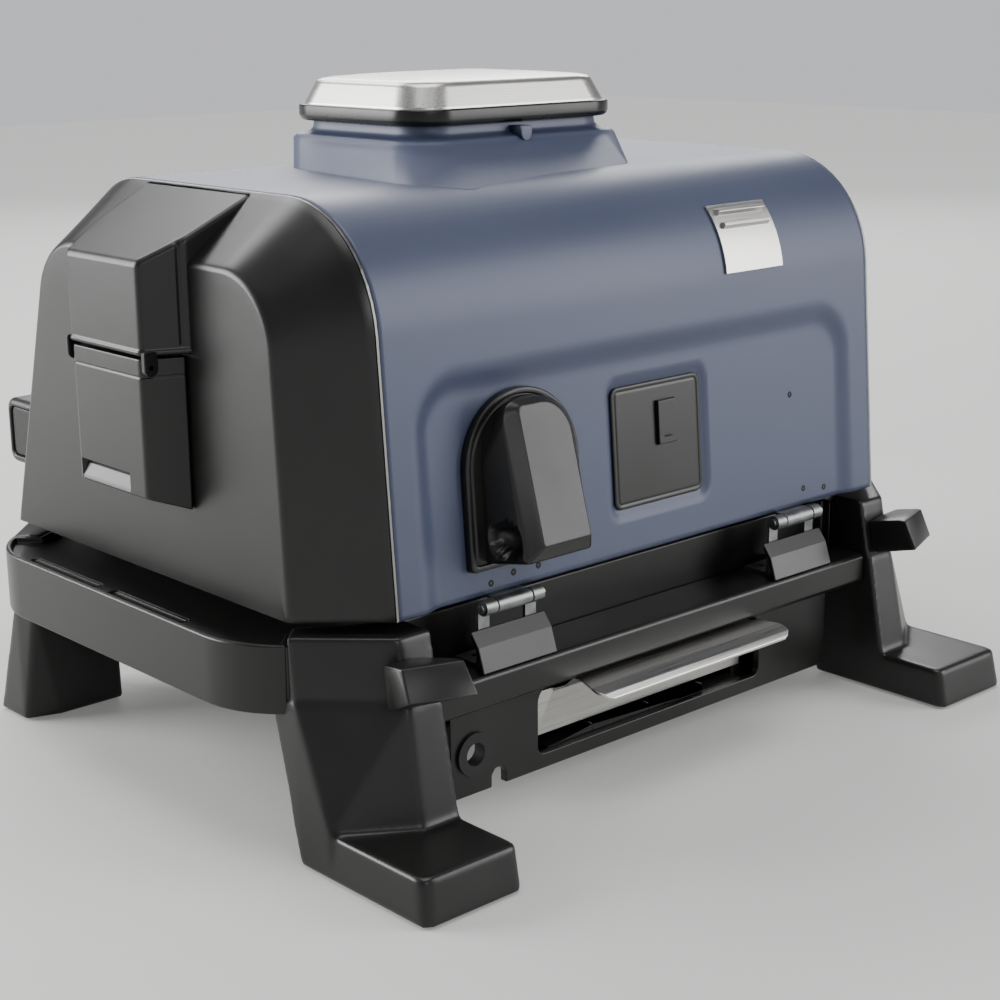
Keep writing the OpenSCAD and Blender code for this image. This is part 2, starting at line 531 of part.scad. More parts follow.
// ---- chimney ----
module ring(x, y, r, z, h) translate([0, 0, z]) linear_extrude(h)
    polygon(rounded(rect(x / 2, y / 2), [r, r, r, r], 6));
module chimney_collar() color("#5a6a8c") difference() {
    union() {
        hull() {
            ring(chimney_x, chimney_y, 28, lid_top + collar_h - 1, 1);
            ring(chimney_x + 12, chimney_y + 20, 32, lid_top, 1);
        }
        hull() {
            ring(chimney_x + 12, chimney_y + 20, 32, lid_top + 2, 0.5);
            ring(chimney_x + 48, chimney_y + 84, 50, lid_top - 6, 1);
        }
        ring(chimney_x - 18, chimney_y - 18, 26, lid_top + collar_h - eps, 11);
        translate([-20, chimney_y / 2 - 10, lid_top + collar_h]) cube([9, 12, 8]);
    }
    along_x(-seam_x, seam_x) lid_solid(0, 0);
    translate([0, 0, lid_top - 1]) cylinder(r = 44, h = collar_h + 20);
    translate([-15.5, chimney_y, lid_top + collar_h + 4]) rotate([90, 0, 0]) cylinder(r = 1.5, h = 84);
}
module chimney_ring() color("#20201f") difference() {
    ring(chimney_x - 2, chimney_y - 4, 30, lid_top + collar_h + 11 - eps, ring_h);
    ring(chimney_x - 8, chimney_y - 10, 27, lid_top + collar_h + 13, ring_h);
    translate([0, 0, lid_top]) cylinder(r = 44, h = 80);
}
module chimney_cap() color("#c8c7c2") difference() {
    z = lid_top + collar_h + 13;
    hull() {
        ring(chimney_x - 9, chimney_y - 11, 26.5, z, ring_h);
        ring(chimney_x - 22, chimney_y - 24, 24, z + ring_h + cap_h - 10, 1);
        ring(chimney_x - 40, chimney_y - 42, 20, z + ring_h + cap_h - 3, 1);
    }
    hull() {
        ring(chimney_x - 12, chimney_y - 14, 25, z - 1, ring_h);
        ring(chimney_x - 26, chimney_y - 28, 22, z + ring_h + cap_h - 12, 1);
    }
}
// ---- rear fittings ----
module tombstone(w, h) {
    translate([-w / 2, 0]) square([w, h - w / 2]);
    translate([0, h - w / 2]) circle(r = w / 2);
}
module hood_plate() color("#262625") on_rear() translate([119, 16, gap]) difference() {
    linear_extrude(4) tombstone(94, 107);
    translate([0, 24, -1]) cylinder(r = 8, h = 10);
}
module cable_hood() color("#2a2a29") on_rear() translate([117, 20, 4.3 + gap]) difference() {
    hull() {
        linear_extrude(1) tombstone(74, 98);
        translate([0, 4, 34]) linear_extrude(1) tombstone(42, 78);
        translate([0, 2, 26]) linear_extrude(1) tombstone(56, 88);
    }
    hull() {
        translate([0, 4, -1]) linear_extrude(1) tombstone(68, 90);
        translate([0, 7, 30]) linear_extrude(1) tombstone(38, 72);
    }
    translate([0, 6, 12]) rotate([90, 0, 0]) cylinder(r = 9, h = 12);
}
module rear_vent_plate() color("#2b2b2a") on_rear() translate([-7, 69, gap]) {
    plate(42, 40, 6, 2.5);
    difference() {
        translate([16, 4, 2.5 - eps]) plate(11, 11, 1, 3);
        translate([20, 4, 2]) plate(11, 7.5, 1, 5);
    }
}
// Points at radius r about the centre of the lid's rear shoulder, from angle a0 to a1
function shoulder_arc(r, a0, a1, n) = let (p = lid_pts()[1], u = unit(lid_pts()[0] - p),
    k = p + unit(u + [-1, 0]) * shoulder_r / sin(acos(u * [-1, 0]) / 2))
    [for (i = [0:n]) let (a = a0 + (a1 - a0) * i / n) k + r * [cos(a), sin(a)]];
module louvre_plate() color("#bdbcb6") {
    face_r = shoulder_r + gap + sheet;
    along_x(-130, -72)
        polygon(concat(shoulder_arc(shoulder_r + gap, 8, 42, 8), shoulder_arc(face_r, 42, 8, 8)));
    for (a = [29, 36]) along_x(-124, -78)
        polygon(concat(shoulder_arc(face_r - eps, a, a + 3.5, 2),
            shoulder_arc(shoulder_r + 5, a + 2.5, a + 1, 1)));
}
screw_places = [[-141, 80], [-153, 11], [-176, 8], [107, 9], [128, 9], [147, 6]];
module at_screws() on_rear() for (p = screw_places) translate([p[0], p[1], 0]) children();
module lid_screws() color("#4a4a4c") at_screws() {
    translate([0, 0, -wall - 1]) cylinder(r = 1.2, h = wall + 1.2);
    translate([0, 0, 0.2]) cylinder(r = 2.2, h = 0.8);
}
// ---- fan and heater ----
module fan_motor() color("#77767a") translate([0, 0, lid_top - liner_gap + 16 + gap]) difference() {
    union() {
        cylinder(r = 32, h = 34);
        translate([0, 0, 0]) cylinder(r = 42, h = 2);
    }
    translate([0, 0, -1]) cylinder(r = 3 + run_fit, h = 26);
}
module convection_fan() color("#a9a8a3") {
    translate([0, 0, fan_z]) cylinder(r = 14, h = 14);
    translate([0, 0, fan_z]) cylinder(r = 3, h = lid_top - liner_gap + 40 - fan_z);
    translate([0, 0, fan_z]) cylinder(r = 28, h = 1.2);
    for (a = [0:45:315]) rotate(a) translate([12, -0.7, fan_z]) rotate([0, 0, 12])
        cube([fan_r - 13, 1.4, 13]);
}
module upper_heater() color("#3b3a3c") {
    for (r = [74, 96]) translate([0, 0, fan_z - 8]) rotate_extrude() translate([r, 0])
        circle(r = 3.4, $fn = 24);
    for (a = [20, 160, 200, 340]) rotate(a) translate([70, -3, fan_z - 4.9])
        cube([30, 6, lid_top - liner_gap + 16 - sheet - gap - fan_z + 4.9]);
}
module fan_guard() color("#9c9b96") {
    difference() {
        translate([0, 0, fan_z - 6]) cylinder(r = 64, h = 1.5);
        for (r = [18:13:57]) for (a = [0:360 / round(r / 2.2):359]) rotate(a) translate([r, 0, fan_z - 7])
            cylinder(r = 3.6, h = 4, $fn = 16);
    }
    for (a = [90:120:330]) rotate(a) translate([59, -2.5, fan_z - 4.5 - eps])
        cube([4, 5, lid_top - liner_gap + 16 - sheet - gap - fan_z + 4.5]);
}
// ---- smoke box ----
module smoke_box_hood() color("#343431") {
    hood_body();
    pin_ears();
}
module hood_body() difference() {
    hull() {
        translate([box_x - 1, box_c - box_y / 2, box_part_z + 1])
            cube([1, box_y, box_top - box_part_z - 1]);
        translate([cap_x - 1, box_c - box_y / 2 - 12, box_part_z + 1])
            cube([1, box_y + 25, box_top - box_part_z - 6]);
        translate([seam_x + 2, box_c - box_y / 2 - 16, lid_top - 22]) cube([1, box_y + 34, 21.5]);
    }
    cap_solid(0, 0);
    translate([0, 0, -gap]) hull() {
        translate([box_x - 5, box_c - box_y / 2 + 3, box_part_z]) cube([2, box_y - 6, 46]);
        translate([cap_x - 2, box_c - box_y / 2 - 8, box_part_z]) cube([1, box_y + 17, 44]);
    }
}
// Two ears hang from the hood and hold the ends of the door's pin
module pin_ears() for (s = [-1, 1]) translate([door_pin_x, box_c + s * (ear_y + ear_t / 2), 0]) {
    rotate([90, 0, 0]) linear_extrude(ear_t, center = true) difference() {
        union() {
            translate([0, door_pin_z]) circle(r = 3.2);
            translate([-3.2, door_pin_z]) square([6.4, box_part_z + 4 - door_pin_z]);
        }
        translate([0, door_pin_z]) circle(r = pin_r / 2 + run_fit / 2);
    }
    translate([-3.2, -ear_t / 2 - (s > 0 ? 4 : 0), box_part_z + 1.3]) cube([6.4, ear_t + 4, 5]);
}
module smoke_box_door() color("#30302d") difference() {
    hull() {
        translate([box_x - 1, box_c - box_y / 2 + 1, door_z + 2])
            cube([1, box_y - 2, box_part_z - door_z - 3]);
        translate([cap_x + 1, box_c - box_y / 2 - 8, box_part_z - 20]) cube([1, box_y + 17, 19]);
        translate([cap_x + gap, box_c - box_y / 2 + 2, door_z - 8]) cube([1, box_y - 4, 10]);
    }
    hull() {
        translate([box_x - 4, box_c - box_y / 2 + 5, door_z + 12])
            cube([1, box_y - 10, box_part_z - door_z - 24]);
        translate([cap_x - 1, box_c - box_y / 2 - 1, box_part_z - 24]) cube([1, box_y + 4, 12]);
        translate([cap_x - 1, box_c - box_y / 2 + 6, door_z + 4]) cube([1, box_y - 12, 8]);
    }
    translate([box_x - 3, box_c - 8 - 27, door_z + 3]) cube([5, 55, 10]);
    translate([door_pin_x, 200, door_pin_z]) rotate([90, 0, 0])
        cylinder(r = pin_r / 2 + run_fit, h = 400);
}
module smoke_door_pin() color("#b9b8b2") translate([door_pin_x, box_c + ear_y + ear_t, door_pin_z])
    rotate([90, 0, 0]) cylinder(r = pin_r / 2, h = 2 * (ear_y + ear_t));
module smoke_box_liner() color("#8f8e89") difference() {
    x0 = cavity_x + 4;
    translate([x0, box_c - 31.5, door_z + 9.5]) cube([cap_x - 0.5 - x0, 63, box_part_z - door_z - 19]);
    translate([x0 + sheet, box_c - 30, door_z + 11]) cube([cap_x, 60, box_part_z - door_z - 22]);
    translate([x0 - 1, box_c, door_z + 40]) rotate([0, 90, 0]) cylinder(r = 14, h = 6);
}
module pellet_basket() color("#a5a49e") {
    x0 = cavity_x + 8; x1 = cap_x - 8;
    translate([0, 0, door_z + 11.3]) difference() {
        translate([x0, box_c - 28, 0]) cube([x1 - x0, 56, 52]);
        translate([x0 + sheet, box_c - 28 + sheet, sheet]) cube([x1 - x0 - 2 * sheet, 56 - 2 * sheet, 60]);
        for (y = [-21:7:21], z = [9:9:45]) translate([x0 - 1, box_c + y, z]) rotate([0, 90, 0])
            cylinder(r = 2.2, h = x1 - x0 + 2, $fn = 16);
    }
}

base_housing();
gasket_seat();
tub();
rear_panel();
rear_bar();
leg_front_left();
leg_front_right();
leg_rear_left();
leg_rear_right();
foot_pads();
cord_cleat_left();
cord_cleat_right();
hinge_cover_left();
hinge_cover_right();
hinge_brackets();
hinge_pins();
cable_grommet();
cooking_pot();
grill_grate();
tray_rails();
control_panel();
display_lens();
circuit_board();
dial_encoder();
mode_dial();
power_button();
time_button();
heat_button();
smoke_button();
grease_tray();
lid_shell();
end_cap_left();
end_cap_right();
seam_trims();
lid_liner();
lid_gasket();
hinge_leaves();
handle_bar();
handle_standoffs();
handle_end_trims();
chimney_collar();
chimney_ring();
chimney_cap();
hood_plate();
cable_hood();
rear_vent_plate();
louvre_plate();
lid_screws();
fan_motor();
convection_fan();
fan_guard();
upper_heater();
smoke_box_hood();
smoke_box_liner();
pellet_basket();
smoke_door_pin();
smoke_box_door();
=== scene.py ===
# %% [markdown]
# The object is an electric wood-pellet outdoor oven: a painted steel lid on a moulded black base.
# Its sizes were settled in CAD, so this file only dresses that frame.

# %% Load the frame
import json
import math

import bmesh
import bpy
import numpy as np
from mathutils import Matrix, Vector


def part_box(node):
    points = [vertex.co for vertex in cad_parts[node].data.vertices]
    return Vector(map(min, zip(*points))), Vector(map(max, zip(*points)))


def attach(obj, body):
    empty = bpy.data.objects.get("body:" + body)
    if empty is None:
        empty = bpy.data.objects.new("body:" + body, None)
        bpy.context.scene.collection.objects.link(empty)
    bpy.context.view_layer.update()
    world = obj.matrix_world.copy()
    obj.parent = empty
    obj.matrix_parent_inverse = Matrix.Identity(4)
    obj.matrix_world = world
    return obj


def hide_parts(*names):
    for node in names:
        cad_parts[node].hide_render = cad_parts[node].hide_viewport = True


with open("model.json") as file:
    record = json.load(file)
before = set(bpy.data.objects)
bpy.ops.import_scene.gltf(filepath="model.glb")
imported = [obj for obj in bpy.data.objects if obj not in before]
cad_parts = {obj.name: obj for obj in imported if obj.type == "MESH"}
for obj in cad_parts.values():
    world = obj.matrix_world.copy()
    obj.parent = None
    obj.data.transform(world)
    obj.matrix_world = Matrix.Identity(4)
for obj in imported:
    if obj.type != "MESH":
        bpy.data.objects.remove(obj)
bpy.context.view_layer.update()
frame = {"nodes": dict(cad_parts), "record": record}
record = frame["record"]
body_of = {n: b for b, members in record["behaviour"]["bodies"].items() for n in members}
slot_of = {s["node"]: s["material_slot"] for s in record["subparts"]}

# %% [markdown]
# Colours are written the way a paint chart gives them, as sRGB hex. A renderer adds light in linear
# values, so one function turns the first into the second. One more adds a shader node, sets what is
# constant on it and links what is not, and a third joins the results to the shader's own sockets.
# With those, a material reads like its own parts list.

# %% Colour and node helpers
MM = 0.001


def linear(code):
    """sRGB hex to linear RGBA: c / 12.92 up to 0.04045, and ((c + 0.055) / 1.055) ** 2.4 above it."""
    c = np.array([int(code[i:i + 2], 16) for i in (1, 3, 5)]) / 255
    c = np.where(c <= 0.04045, c / 12.92, ((c + 0.055) / 1.055) ** 2.4)
    return (*c.tolist(), 1.0)


def add(tree, kind, values=None, **links):
    """Adds a node: values holds its properties and input constants, links joins inputs to outputs."""
    node = tree.nodes.new(kind)
    for key, value in (values or {}).items():
        if isinstance(key, str) and hasattr(node, key):
            setattr(node, key, value)
        else:
            node.inputs[key].default_value = value
    for key, output in links.items():
        tree.links.new(output, node.inputs[key.replace("_", " ")])
    return node


def per(size):
    """Scale of a texture on Object coordinates whose features measure size millimetres."""
    return 1000 / size


def stops(node, low, high, colours):
    """Gives a Color Ramp its two stops, at positions low and high."""
    for stop, place, colour in zip(node.color_ramp.elements, (low, high), colours):
        stop.position = place
        stop.color = linear(colour)


MATERIALS = {}


def start(name, slot, **shader_values):
    """A new material with a Principled shader; the constants go straight on its sockets."""
    made = bpy.data.materials.new(name)
    made.use_nodes = True
    tree = made.node_tree
    shader = tree.nodes["Principled BSDF"]
    for key, value in shader_values.items():
        shader.inputs[key.replace("_", " ")].default_value = value
    place = add(tree, "ShaderNodeTexCoord").outputs["Object"]
    MATERIALS[slot] = made
    return tree, shader, place


def wire(tree, shader, **sources):
    """Joins outputs to the shader's sockets of the same names."""
    for key, output in sources.items():
        tree.links.new(output, shader.inputs[key.replace("_", " ")])


print("sRGB middle grey #808080 is", round(linear("#808080")[0], 3), "in linear light")

# %% [markdown]
# Charcoal ABS. The deck, legs, end caps and smoke box are injection moulded in ABS that is coloured
# through, from a spark-eroded mould: the skin is a fine grain of half a millimetre that breaks a
# lamp's reflection into a soft sheen. Noise on Object coordinates draws it without stretching. Grip
# and dust vary the gloss over a hand's width. The chimney's ring and the handle's ends come from a
# polished mould, and the feet are rubber; one function makes all three from their own numbers.

# %% Moulded ABS
GRAIN = 0.55        # millimetres between the grains of the mould's texture
GRAIN_DEPTH = 0.15  # millimetres that the grain seems to rise, drawn deeper than the real one
HANDLING = 70       # millimetres over which handling and dust vary the gloss


def moulded(name, slot, dark, light, low_gloss, high_gloss, depth, **more):
    """Moulded plastic: fine grain as bump, broad cloud as colour and roughness."""
    tree, shader, place = start(name, slot, **more)
    cloud = add(tree, "ShaderNodeTexNoise", {"Scale": per(HANDLING), "Detail": 5.0}, Vector=place)
    tone = add(tree, "ShaderNodeValToRGB", Fac=cloud.outputs["Fac"])
    stops(tone, 0.35, 0.68, (dark, light))
    gloss = add(tree, "ShaderNodeMapRange", {"From Min": 0.3, "From Max": 0.7, "To Min": low_gloss,
                "To Max": high_gloss}, Value=cloud.outputs["Fac"])
    grain = add(tree, "ShaderNodeTexNoise", {"Scale": per(GRAIN), "Detail": 2.0}, Vector=place)
    bump = add(tree, "ShaderNodeBump", {"Strength": depth, "Distance": GRAIN_DEPTH * MM},
               Height=grain.outputs["Fac"])
    wire(tree, shader, Base_Color=tone.outputs["Color"], Roughness=gloss.outputs["Result"],
         Normal=bump.outputs["Normal"])


moulded("charcoal_abs_moulded", "charcoal_abs", "#111110", "#161615", 0.29, 0.37, 0.3, IOR=1.53,
        Specular_IOR_Level=0.38)
moulded("black_abs_polished", "gloss_black", "#0f0f0e", "#141413", 0.22, 0.3, 0.06, IOR=1.53,
        Specular_IOR_Level=0.3)
moulded("rubber_moulded", "rubber", "#121212", "#1a1a19", 0.7, 0.8, 0.5, IOR=1.52)
print("moulded finishes:", ", ".join(MATERIALS))

# %% [markdown]
# Slate-blue enamel. The shell is pressed steel with a baked satin coating. Sprayed enamel has
# orange peel, a shallow ripple of about 2 mm, and its colour drifts a little with film thickness.
# A thin clear coat over a rougher base gives the broad soft highlight with a crisp core.

# %% Baked enamel
PEEL = 2.2          # millimetres between the ripples of the sprayed coat
DRIFT = 160         # millimetres over which the film thickness drifts

tree, shader, place = start("slate_enamel_baked", "slate_blue_enamel", Metallic=0.12, IOR=1.5,
                            Coat_Weight=0.08, Coat_Roughness=0.25)
drift = add(tree, "ShaderNodeTexNoise", {"Scale": per(DRIFT), "Detail": 3.0}, Vector=place)
tone = add(tree, "ShaderNodeValToRGB", Fac=drift.outputs["Fac"])
stops(tone, 0.3, 0.7, ("#3b4258", "#40475d"))
gloss = add(tree, "ShaderNodeMapRange", {"From Min": 0.3, "From Max": 0.7, "To Min": 0.44,
            "To Max": 0.5}, Value=drift.outputs["Fac"])
peel = add(tree, "ShaderNodeTexNoise", {"Scale": per(PEEL), "Detail": 1.5}, Vector=place)
bump = add(tree, "ShaderNodeBump", {"Strength": 0.12, "Distance": 0.1 * MM},
           Height=peel.outputs["Fac"])
wire(tree, shader, Base_Color=tone.outputs["Color"], Roughness=gloss.outputs["Result"],
     Normal=bump.outputs["Normal"])
print("enamel ripple scale:", round(per(PEEL)), "per metre")

# %% [markdown]
# Sheet metals. Stainless is brushed with a belt, so it carries hair lines along one way; zinc
# plating and aluminised sheet are dipped, and show a soft cloud or spangle instead. Stretching a
# noise along X through a Mapping node draws the hair lines: wide along X, a fraction of a
# millimetre across. Real ones are finer than a render shows, so these are drawn at 0.6 mm.

# %% Metals
HAIR = 0.6          # millimetres across a brushed line, drawn coarser than the real 0.1
HAIR_RUN = 60       # millimetres along it


def metal(name, slot, dark, light, low, high, size, depth, brushed=False, **more):
    """A metal whose colour, roughness and bump follow one noise, stretched along X if brushed."""
    tree, shader, place = start(name, slot, Metallic=1.0, **more)
    if brushed:
        stretch = (HAIR / HAIR_RUN, 1.0, 1.0)
        place = add(tree, "ShaderNodeMapping", {"Scale": stretch}, Vector=place).outputs["Vector"]
    cloud = add(tree, "ShaderNodeTexNoise", {"Scale": per(size), "Detail": 4.0}, Vector=place)
    tone = add(tree, "ShaderNodeValToRGB", Fac=cloud.outputs["Fac"])
    stops(tone, 0.3, 0.7, (dark, light))
    gloss = add(tree, "ShaderNodeMapRange", {"From Min": 0.3, "From Max": 0.7, "To Min": low,
                "To Max": high}, Value=cloud.outputs["Fac"])
    bump = add(tree, "ShaderNodeBump", {"Strength": depth, "Distance": 0.05 * MM},
               Height=cloud.outputs["Fac"])
    wire(tree, shader, Base_Color=tone.outputs["Color"], Roughness=gloss.outputs["Result"],
         Normal=bump.outputs["Normal"])


metal("stainless_brushed", "brushed_stainless", "#b4b3af", "#c9c8c4", 0.26, 0.36, HAIR, 0.25,
      brushed=True)
metal("steel_zinc_plated", "plated_steel", "#727374", "#8b8c8c", 0.34, 0.48, 9, 0.2)
metal("steel_aluminised", "aluminised_steel", "#7d7c78", "#94938e", 0.4, 0.55, 5, 0.3)
metal("aluminium_trim_satin", "trim_grey", "#6f6f6d", "#7f7f7c", 0.35, 0.45, 12, 0.1)
metal("incoloy_heater_sheath", "heater_sheath", "#3a3633", "#4c4642", 0.5, 0.65, 3, 0.4)
print("metals:", ", ".join(list(MATERIALS)[-5:]))

# %% [markdown]
# What is left are the small finishes: the pot's ceramic non-stick with its pale fleck, the woven
# glass-fibre gasket, the smoked display window, and the green board behind it. The fleck is a
# Voronoi cell whose centre is lit; the weave is two bands of waves at right angles.

# %% Ceramic, fibre, glass and board
FLECK = 3.5         # millimetres between the flecks in the ceramic
WIPE = 40           # millimetres across the marks that cleaning leaves on it
STRAND = 1.6        # millimetres between the strands of the gasket
BANDS = 6           # a Wave texture draws about this many bands in one unit of its scale
SMEAR = 30          # millimetres across a finger's smear on the window
TRACK = 5           # millimetres between the tracks of the board

tree, shader, place = start("ceramic_nonstick", "nonstick_ceramic", IOR=1.5, Coat_Weight=0.3,
                            Coat_Roughness=0.2)
cells = add(tree, "ShaderNodeTexVoronoi", {"Scale": per(FLECK)}, Vector=place)
fleck = add(tree, "ShaderNodeValToRGB", Fac=cells.outputs["Distance"])
stops(fleck, 0.1, 0.2, ("#6b6a67", "#2a2928"))
wipe = add(tree, "ShaderNodeTexNoise", {"Scale": per(WIPE), "Detail": 4.0}, Vector=place)
gloss = add(tree, "ShaderNodeMapRange", {"To Min": 0.3, "To Max": 0.5}, Value=wipe.outputs["Fac"])
wire(tree, shader, Base_Color=fleck.outputs["Color"], Roughness=gloss.outputs["Result"])

tree, shader, place = start("glass_fibre_braid", "gasket_fibre", Roughness=0.9, IOR=1.5)
warp = add(tree, "ShaderNodeTexWave", {"Scale": per(STRAND) / BANDS, "bands_direction": "X"}, Vector=place)
weft = add(tree, "ShaderNodeTexWave", {"Scale": per(STRAND) / BANDS, "bands_direction": "Y"}, Vector=place)
both = add(tree, "ShaderNodeMath", {"operation": "MAXIMUM", 0: 0.0})
tree.links.new(warp.outputs["Fac"], both.inputs[0])
tree.links.new(weft.outputs["Fac"], both.inputs[1])
tone = add(tree, "ShaderNodeValToRGB", Fac=both.outputs["Value"])
stops(tone, 0.2, 0.9, ("#0f0f0f", "#262625"))
bump = add(tree, "ShaderNodeBump", {"Strength": 0.6, "Distance": 0.4 * MM}, Height=both.outputs["Value"])
wire(tree, shader, Base_Color=tone.outputs["Color"], Normal=bump.outputs["Normal"])

tree, shader, place = start("display_window_smoked", "display_glass", IOR=1.49, Coat_Weight=0.6,
                            Coat_Roughness=0.04)
film = add(tree, "ShaderNodeTexNoise", {"Scale": per(SMEAR), "Detail": 3.0}, Vector=place)
tone = add(tree, "ShaderNodeValToRGB", Fac=film.outputs["Fac"])
stops(tone, 0.3, 0.7, ("#07090b", "#0c0f12"))
smear = add(tree, "ShaderNodeMapRange", {"To Min": 0.05, "To Max": 0.12}, Value=film.outputs["Fac"])
wire(tree, shader, Base_Color=tone.outputs["Color"], Roughness=smear.outputs["Result"])

tree, shader, place = start("board_laminate", "circuit_laminate", Roughness=0.35, IOR=1.5)
tracks = add(tree, "ShaderNodeTexVoronoi", {"Scale": per(TRACK), "distance": "CHEBYCHEV"}, Vector=place)
tone = add(tree, "ShaderNodeValToRGB", Fac=tracks.outputs["Distance"])
stops(tone, 0.42, 0.5, ("#1c4a2e", "#2c6a44"))
wire(tree, shader, Base_Color=tone.outputs["Color"])
print(len(MATERIALS), "finishes for", len(set(slot_of.values())), "slots")

# %% [markdown]
# The stage. The object stands on a plain pale floor in a white studio. A camera is placed by where
# it stands and where it looks: azimuth round the object, height above the horizon, and a slight roll.
# Its three axes make a rotation matrix: right, up, and back, which is away from the view.

# %% Camera
EYE = (0.888, 1.0155, 0.500)          # metres
AZIMUTH, ELEVATION, ROLL = 137.6, 14.95, -0.5      # degrees
LENS = 68.54                          # millimetres, on a 36 mm sensor

az, el, roll = (math.radians(v) for v in (AZIMUTH, ELEVATION, ROLL))
back = Vector((math.sin(az) * math.cos(el), -math.cos(az) * math.cos(el), math.sin(el)))
level = Vector((0, 0, 1)).cross(back).normalized()
upright = back.cross(level)
right = level * math.cos(roll) + upright * math.sin(roll)
upward = upright * math.cos(roll) - level * math.sin(roll)
camera_data = bpy.data.cameras.new("camera")
camera_data.lens = LENS
camera_data.sensor_width = 36.0
camera_data.clip_start = 0.05
camera = bpy.data.objects.new("camera", camera_data)
camera.matrix_world = Matrix.Translation(EYE) @ Matrix((right, upward, back)).transposed().to_4x4()
bpy.context.collection.objects.link(camera)
bpy.context.scene.camera = camera
print("camera looks along", [round(-v, 3) for v in back])

# %% [markdown]
# Light decides how a black plastic reads: it shows almost only what it reflects. A tall soft panel
# stands to the left, facing the smoke box, and gives its grey sheen; a broad one hangs overhead for
# the deck, the lid's roof and the steel cap; a weak one fills the rear wall; a strip on the right
# draws the edges of the legs and hinges; one high behind the oven catches the lid's bend, and the last
# catches the sloping roofs of the smoke box and the end cap.
# The paper glows a little more the farther it lies from the oven, which stands in for the wash of
# light that a studio gives its background, and the world is brighter at the horizon than overhead.

# %% Floor, world and lights
FLOOR = 6.0                           # metres from the oven to the paper's edge

floor_mesh = bpy.data.meshes.new("floor")
floor_mesh.from_pydata([(-FLOOR, -FLOOR, 0), (FLOOR, -FLOOR, 0), (FLOOR, FLOOR, 0), (-FLOOR, FLOOR, 0)],
                       [], [(0, 1, 2, 3)])
floor = bpy.data.objects.new("floor", floor_mesh)
paper = bpy.data.materials.new("floor_paper_matt")
paper.use_nodes = True
sheet = paper.node_tree.nodes["Principled BSDF"]
for socket, value in (("Base Color", linear("#bcbcba")), ("Roughness", 0.9),
                      ("Emission Color", linear("#f4f4f2"))):
    sheet.inputs[socket].default_value = value
spot = add(paper.node_tree, "ShaderNodeTexCoord").outputs["Object"]
away = add(paper.node_tree, "ShaderNodeVectorMath", {"operation": "LENGTH"}, Vector=spot)
glow = add(paper.node_tree, "ShaderNodeMapRange", {"From Min": 0.9, "From Max": 3.2, "To Min": 0.15,
           "To Max": 0.62}, Value=away.outputs["Value"])
wire(paper.node_tree, sheet, Emission_Strength=glow.outputs["Result"])
floor_mesh.materials.append(paper)
bpy.context.collection.objects.link(floor)

world = bpy.data.worlds.new("studio")
world.use_nodes = True
sky = world.node_tree.nodes["Background"]
sky.inputs["Color"].default_value = linear("#f6f7fb")
ray = add(world.node_tree, "ShaderNodeTexCoord").outputs["Generated"]
height = add(world.node_tree, "ShaderNodeSeparateXYZ", Vector=ray)
fade = add(world.node_tree, "ShaderNodeMapRange", {"From Min": 0.06, "From Max": 0.2, "To Min": 0.72,
           "To Max": 0.27}, Value=height.outputs["Z"])
wire(world.node_tree, sky, Strength=fade.outputs["Result"])
bpy.context.scene.world = world


def panel_light(name, place, target, width, height, watts):
    """A rectangular soft light at place, turned to face target."""
    data = bpy.data.lights.new(name, "AREA")
    data.shape = "RECTANGLE"
    data.size, data.size_y, data.energy = width, height, watts
    lamp = bpy.data.objects.new(name, data)
    lamp.location = place
    lamp.rotation_euler = (Vector(target) - Vector(place)).to_track_quat("-Z", "Y").to_euler()
    bpy.context.collection.objects.link(lamp)


panel_light("left_panel", (1.75, -1.6, 0.9), (0.25, 0.0, 0.3), 1.5, 1.4, 92)
panel_light("overhead", (0.1, 0.2, 2.3), (0.0, 0.0, 0.3), 1.6, 1.6, 30)
panel_light("rear_fill", (1.0, 2.5, 1.2), (0.0, 0.2, 0.25), 1.0, 1.0, 12)
panel_light("right_strip", (-1.55, 1.85, 0.95), (0.0, 0.2, 0.25), 1.2, 1.7, 44)
panel_light("roof_panel", (0.15, -1.65, 2.0), (0.25, 0.0, 0.35), 1.2, 0.7, 23)
panel_light("far_panel", (-1.9, -2.1, 1.75), (0.0, 0.0, 0.45), 2.2, 1.1, 60)
print("six soft panels and a pale world")

# %% [markdown]
# Softened copies. A CAD mesh comes as loose triangles with edges as sharp as a razor, and no moulded
# or folded part has those. Its mesh is not touched; a copy has its doubled points merged and its
# flat faces joined again, then a Bevel modifier rounds each edge by the radius the tool would leave,
# and shading turns smooth except across corners that stay crisp. One function lets a piece stand for
# its CAD part, and another dresses the few pieces that have none.

# %% Softened copies of CAD parts
def show(obj, node, material=None):
    """The piece rides with that CAD part's body, stands for it, and takes its finish."""
    slot = slot_of[node]
    obj.data.materials.clear()
    obj.data.materials.append(material or MATERIALS[slot])
    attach(obj, body_of[node])
    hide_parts(node)
    return obj


def dress(obj, body, slot, material=None):
    """A piece without a CAD part of its own: it takes its finish and rides with that body."""
    obj.data.materials.append(material or MATERIALS[slot])
    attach(obj, body)
    return obj


MERGE = 2e-5           # metres within which two points of a CAD mesh are one
FLAT = 1.0             # degrees under which two faces are one flat face


